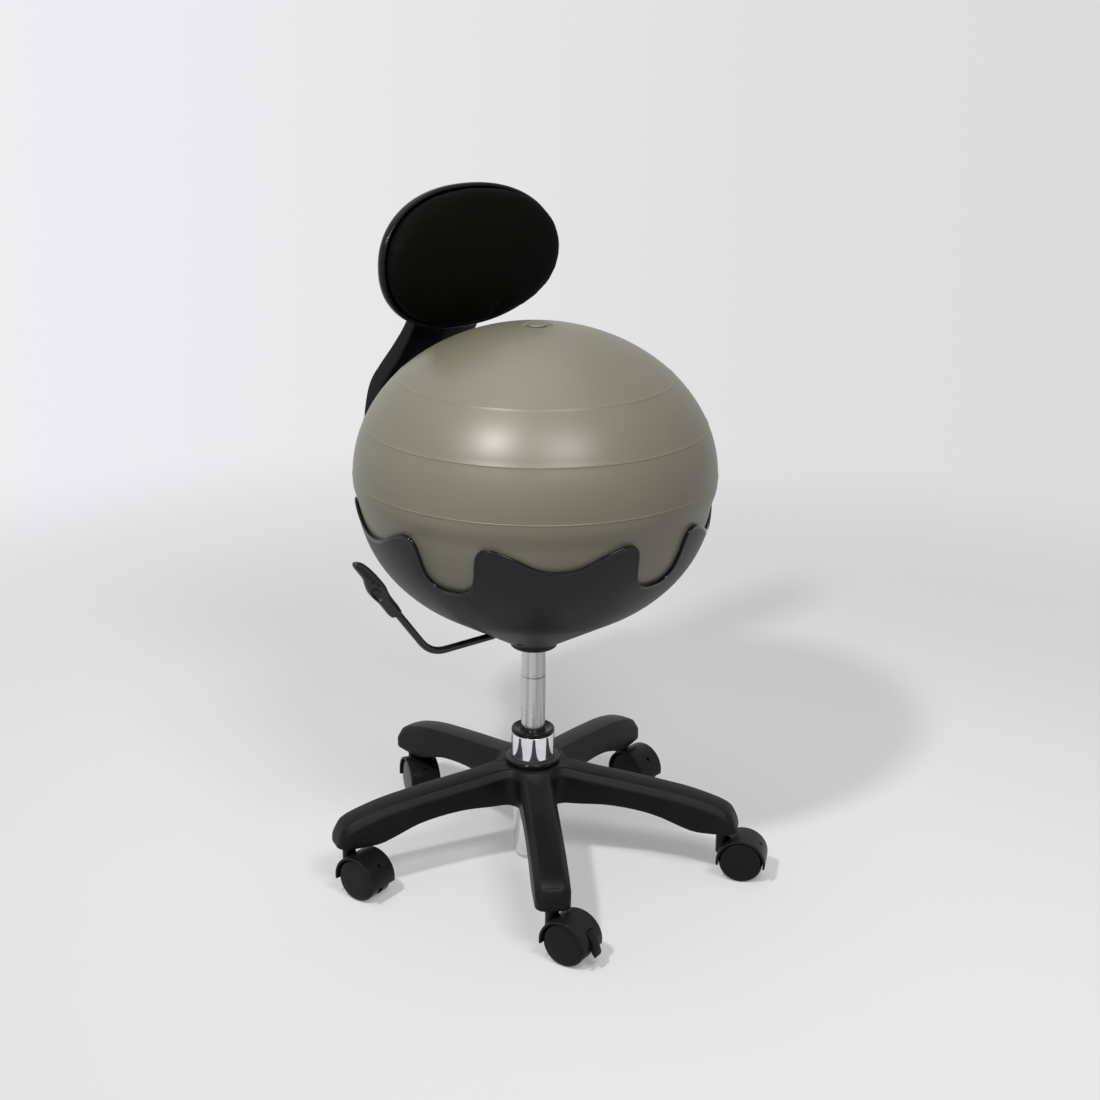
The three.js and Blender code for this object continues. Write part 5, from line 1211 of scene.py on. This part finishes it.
# The cushion before it is blown up: its seat in the shell, its side, and its crown as (rise, width)
PAD_EDGE, PAD_FOOT, PAD_RISE = 6.6, 3, 26.6
pad_rings = [back_ring(PAD_INSIDE, PAD_SEAT, s) for s in (0.1, 0.4, 0.7, 0.86)]
pad_rings += [back_ring(PAD_INSIDE, 5.0, 0.94), back_ring(PAD_INSIDE, 3.6, 0.975)]
pad_rings += [back_ring(i, d) for i, d in ((7.0, 1.0), (6.8, -1.4), (PAD_EDGE, -3.6))]
pad_rings += [back_ring(PAD_EDGE, -PAD_FOOT - PAD_RISE * rise, width) for rise, width in (
    (0.04, 1.0), (0.12, 1.016), (0.22, 1.025), (0.34, 1.02), (0.46, 1.0), (0.58, 0.963), (0.7, 0.905),
    (0.8, 0.83), (0.88, 0.735), (0.94, 0.61), (0.975, 0.48), (0.992, 0.33), (0.999, 0.18), (1.0, 0.06))]
pad = closed_skin(pad_rings, (0, PAD_Y + PAD_SEAT, PAD_Z), (0, PAD_Y - PAD_FOOT - PAD_RISE, PAD_Z))
pad = mesh_piece("backrest_pad", pad, smooth=180)


def stuff(piece, size=5 * MM, pressure=4.0, most=8 * MM, frames=20):
    """Blows the cushion up a little like filled cloth, its back held in the shell."""
    work = new_object("cloth", piece.data.copy())
    even = work.modifiers.new("even", "REMESH")
    even.mode = "VOXEL"
    even.voxel_size = size
    finish_modifiers(work)
    start = np.array([v.co for v in work.data.vertices])
    # Held where it lies less than 2 mm before the shell's edge, free from 8 mm on
    depth = start[:, 1] - (PAD_Y + AXIS_Y) * MM + (start[:, 0] - AXIS_X * MM) ** 2 / (2 * SHELL_CURVE * MM)
    held = work.vertex_groups.new(name="held")
    for i, d in enumerate(depth):
        weight = between(d, -8 * MM, -2 * MM)
        if weight > 0:
            held.add([i], weight, "REPLACE")
    cloth = work.modifiers.new("cloth", "CLOTH")
    for key, value in [("use_pressure", True), ("uniform_pressure_force", pressure), ("quality", 6),
                       ("tension_stiffness", 30), ("compression_stiffness", 30), ("shear_stiffness", 10),
                       ("bending_stiffness", 0.6), ("vertex_group_mass", "held")]:
        setattr(cloth.settings, key, value)
    cloth.settings.effector_weights.gravity = 0
    cloth.point_cache.frame_start, cloth.point_cache.frame_end = 1, frames
    for number in range(1, frames + 1):
        scene.frame_set(number)
    finish_modifiers(work)
    scene.frame_set(1)
    move = np.array([v.co for v in work.data.vertices]) - start
    reach = np.linalg.norm(move, axis=1)
    end = start + move * np.minimum(1, most / np.maximum(reach, 1e-9))[:, None]
    work.data.vertices.foreach_set("co", end.reshape(-1).astype(np.float32))
    smooth = work.modifiers.new("even", "SUBSURF")
    smooth.levels = smooth.render_levels = 1
    finish_modifiers(work)
    old = piece.data
    piece.data = work.data
    bpy.data.objects.remove(work)
    bpy.data.meshes.remove(old)
    shade(piece.data, 180)


stuff(pad)
hand_in(pad, "seat", "pad_fabric", FABRIC, "backrest_pad")


# Screws with a pan head and a cross recess: head up from z = 0, shank below
def screw_set(name, shank, places, *nodes):
    """One kind of screw at its places, which are (point, turn)."""
    profile = [(0, -shank), (1.5, -shank), (2.1, -shank + 1), (2.1, 0), (4.6, 0), (4.6, 0.9), (4.2, 2.0),
               (3.2, 2.8), (2.0, 3.0), (0, 3.05)]
    model = mesh_piece("screw", turned(profile, 32), at=PLAIN)
    for turn in (0, math.pi / 2):
        cut(model, moved(block(-2.3, 2.3, -0.45, 0.45, 1.4, 4), Matrix.Rotation(turn, 4, "Z")))
    mesh = model.data
    shape = ([tuple(v.co * 1000) for v in mesh.vertices], [tuple(p.vertices) for p in mesh.polygons])
    bpy.data.objects.remove(model)
    set_in = repeat(name, shape, [(*place, (1, 1, 1)) for place in places], ZINC)
    hand_in(set_in, "seat", "steel", ZINC, *nodes)


def numbered(name, count):
    return [f"{name}_{k}" for k in range(1, count + 1)]


screw_set("plate_screws", 11, [((x, y, 299.3), (0, 0, 0.3 * x + y)) for x, y in corners],
          *numbered("plate_screw", 4))
cone_tilt = math.atan2(-CONE_OUT[0], CONE_OUT[1])
screw_set("support_screws", 22, [((0, *on_cone(share, FOOT_THICK + 0.7)), (cone_tilt, 0, 0))
                                 for share in (0.82, 0.6, 0.38)], *numbered("support_screw", 3))
screw_set("shell_screws", 10, [((x, back_y + 5.3, PAD_Z + z), (-math.pi / 2, 0, 0)) for x in (-24, 24)
                               for z in (-17, 17)], *numbered("shell_screw", 4))

# Hidden fittings keep their CAD shape
steel_fittings = ("piston_rod", "rod_clip", "thrust_bearing", "release_pin", "mechanism_plate",
                  "lever_pivot_pin", *numbered("caster_axle", 5))
for node in ("bumper", "rod_guide", *steel_fittings):
    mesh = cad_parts[node].data
    mesh.materials.clear()
    mesh.materials.append({"bumper": RUBBER, "rod_guide": NYLON}.get(node, ZINC))

# Light, backdrop and camera, in the photographer's axes about the column: x right, y away
VIEW_TURN = math.radians(43.6)
TURN = Matrix.Rotation(-VIEW_TURN, 4, "Z")


def to_frame(point):
    """A point of the photographer's axes, in metres in the frame."""
    return (COLUMN @ TURN @ Vector(point)) * MM


def lamp(name, place, aim, size, power):
    """A lamp at a place, aimed at a point, with its size in millimetres."""
    data = bpy.data.lights.new(name, "AREA")
    data.shape = "RECTANGLE"
    data.size, data.size_y = size[0] * MM, size[1] * MM
    data.energy = power
    light = new_object(name, data)
    light.location = to_frame(place)
    light.rotation_mode = "QUATERNION"
    light.rotation_quaternion = (to_frame(aim) - light.location).to_track_quat("-Z", "Y")


def far_out(x, y):
    return (x * x + y * y) ** 0.5


def far_tone(r, x, y):
    """The studio's tone in a direction: paler on the key's side, as painted light."""
    aside = x / far_out(x, y)
    return r.blend(aside.between(-0.36, 0.34), (0.86, 0.86, 0.88, 1), (0.71, 0.71, 0.71, 1))


def backdrop():
    """White paper: lit and shadowed about the chair, painted darker towards the key as painted shade and
    glowing in part as painted light, and far off a glowing tone that hides the horizon.
    """
    r, here = new_finish("backdrop_paper")
    x, y, _ = r.split(r.stretch(here, (1, 1, 1), (0, 0, VIEW_TURN)))
    patch = r.noise(here, 2.5, 3.0, 0.5)
    # Painted shade: the paper is darker near the key's foot, to even out the key's pool of light
    key_pool_shade = (((x + 0.68) ** 2 + (y + 1.02) ** 2) ** 0.5 + patch * 0.1).between(0.35, 1.9)
    colour = r.blend(key_pool_shade, (0.64, 0.64, 0.645, 1), (0.93, 0.93, 0.93, 1))
    r.finish(shine=0.2, base_color=colour, roughness=0.92)
    paper = Link(r, r.tree.nodes["Principled BSDF"].outputs[0])
    glow = r.node("ShaderNodeEmission", {"Color": far_tone(r, x, y + 2.1), "Strength": 1.0})
    # Painted light: a third of the near paper, and all of it far off, glows and lightens the chair's shadow
    near = r.mix(0.33 + 0.67 * far_out(x, y).between(0.8, 1.9), paper, glow)
    dim = r.node("ShaderNodeBsdfDiffuse", {"Color": (0.37, 0.37, 0.37, 1)})
    r.put(r.tree.nodes["Material Output"].inputs["Surface"], r.mix(r.seen(), dim, near))
    return r.owner


FLOOR_REACH = 45000
floor_corners = [(x * FLOOR_REACH, y * FLOOR_REACH, 0) for x, y in ((-1, -1), (1, -1), (1, 1), (-1, 1))]
floor = mesh_piece("floor", (floor_corners, [(0, 1, 2, 3)]), at=COLUMN @ TURN)
floor.data.materials.append(backdrop())

scene.world = bpy.data.worlds.new("studio")
studio = Recipe(scene.world)
toward = studio.node("ShaderNodeTexCoord", out="Generated")
x, y, _ = studio.split(studio.stretch(toward, (1, 1, 1), (0, 0, VIEW_TURN)))
pale = studio.background(far_tone(studio, x, y), 1.0)
dimmer = studio.blend((x / far_out(x, y)).between(-1.0, 1.0), (1, 1, 1, 1), (0.45, 0.45, 0.46, 1))
soft = studio.background(dimmer, 0.28)
studio.put(studio.tree.nodes["World Output"].inputs["Surface"], studio.mix(studio.seen(), soft, pale))

lamp("key", (-678, -1024, 1807), (500, 700, 0), (150, 150), 23)
lamp("soft_box", (690, -1600, 2240), (0, 0, 450), (900, 560), 28)
lamp("top", (-200, 300, 3000), (0, 0, 300), (2000, 2000), 14)

lens = bpy.data.cameras.new("camera")
lens.lens, lens.sensor_width = 58.52, 36
lens.clip_start, lens.clip_end = 0.05, 60
camera = new_object("camera", lens)
# Turned a little to the right, tipped down and rolled
camera.matrix_world = Matrix.Translation(to_frame((0, -1900, 1030.2))) @ TURN
for angle, axis in ((-0.518, "Z"), (90 - 18.882, "X"), (0.728, "Z")):
    camera.matrix_world @= Matrix.Rotation(math.radians(angle), 4, axis)
scene.camera = camera
scene.view_settings.view_transform = "Standard"
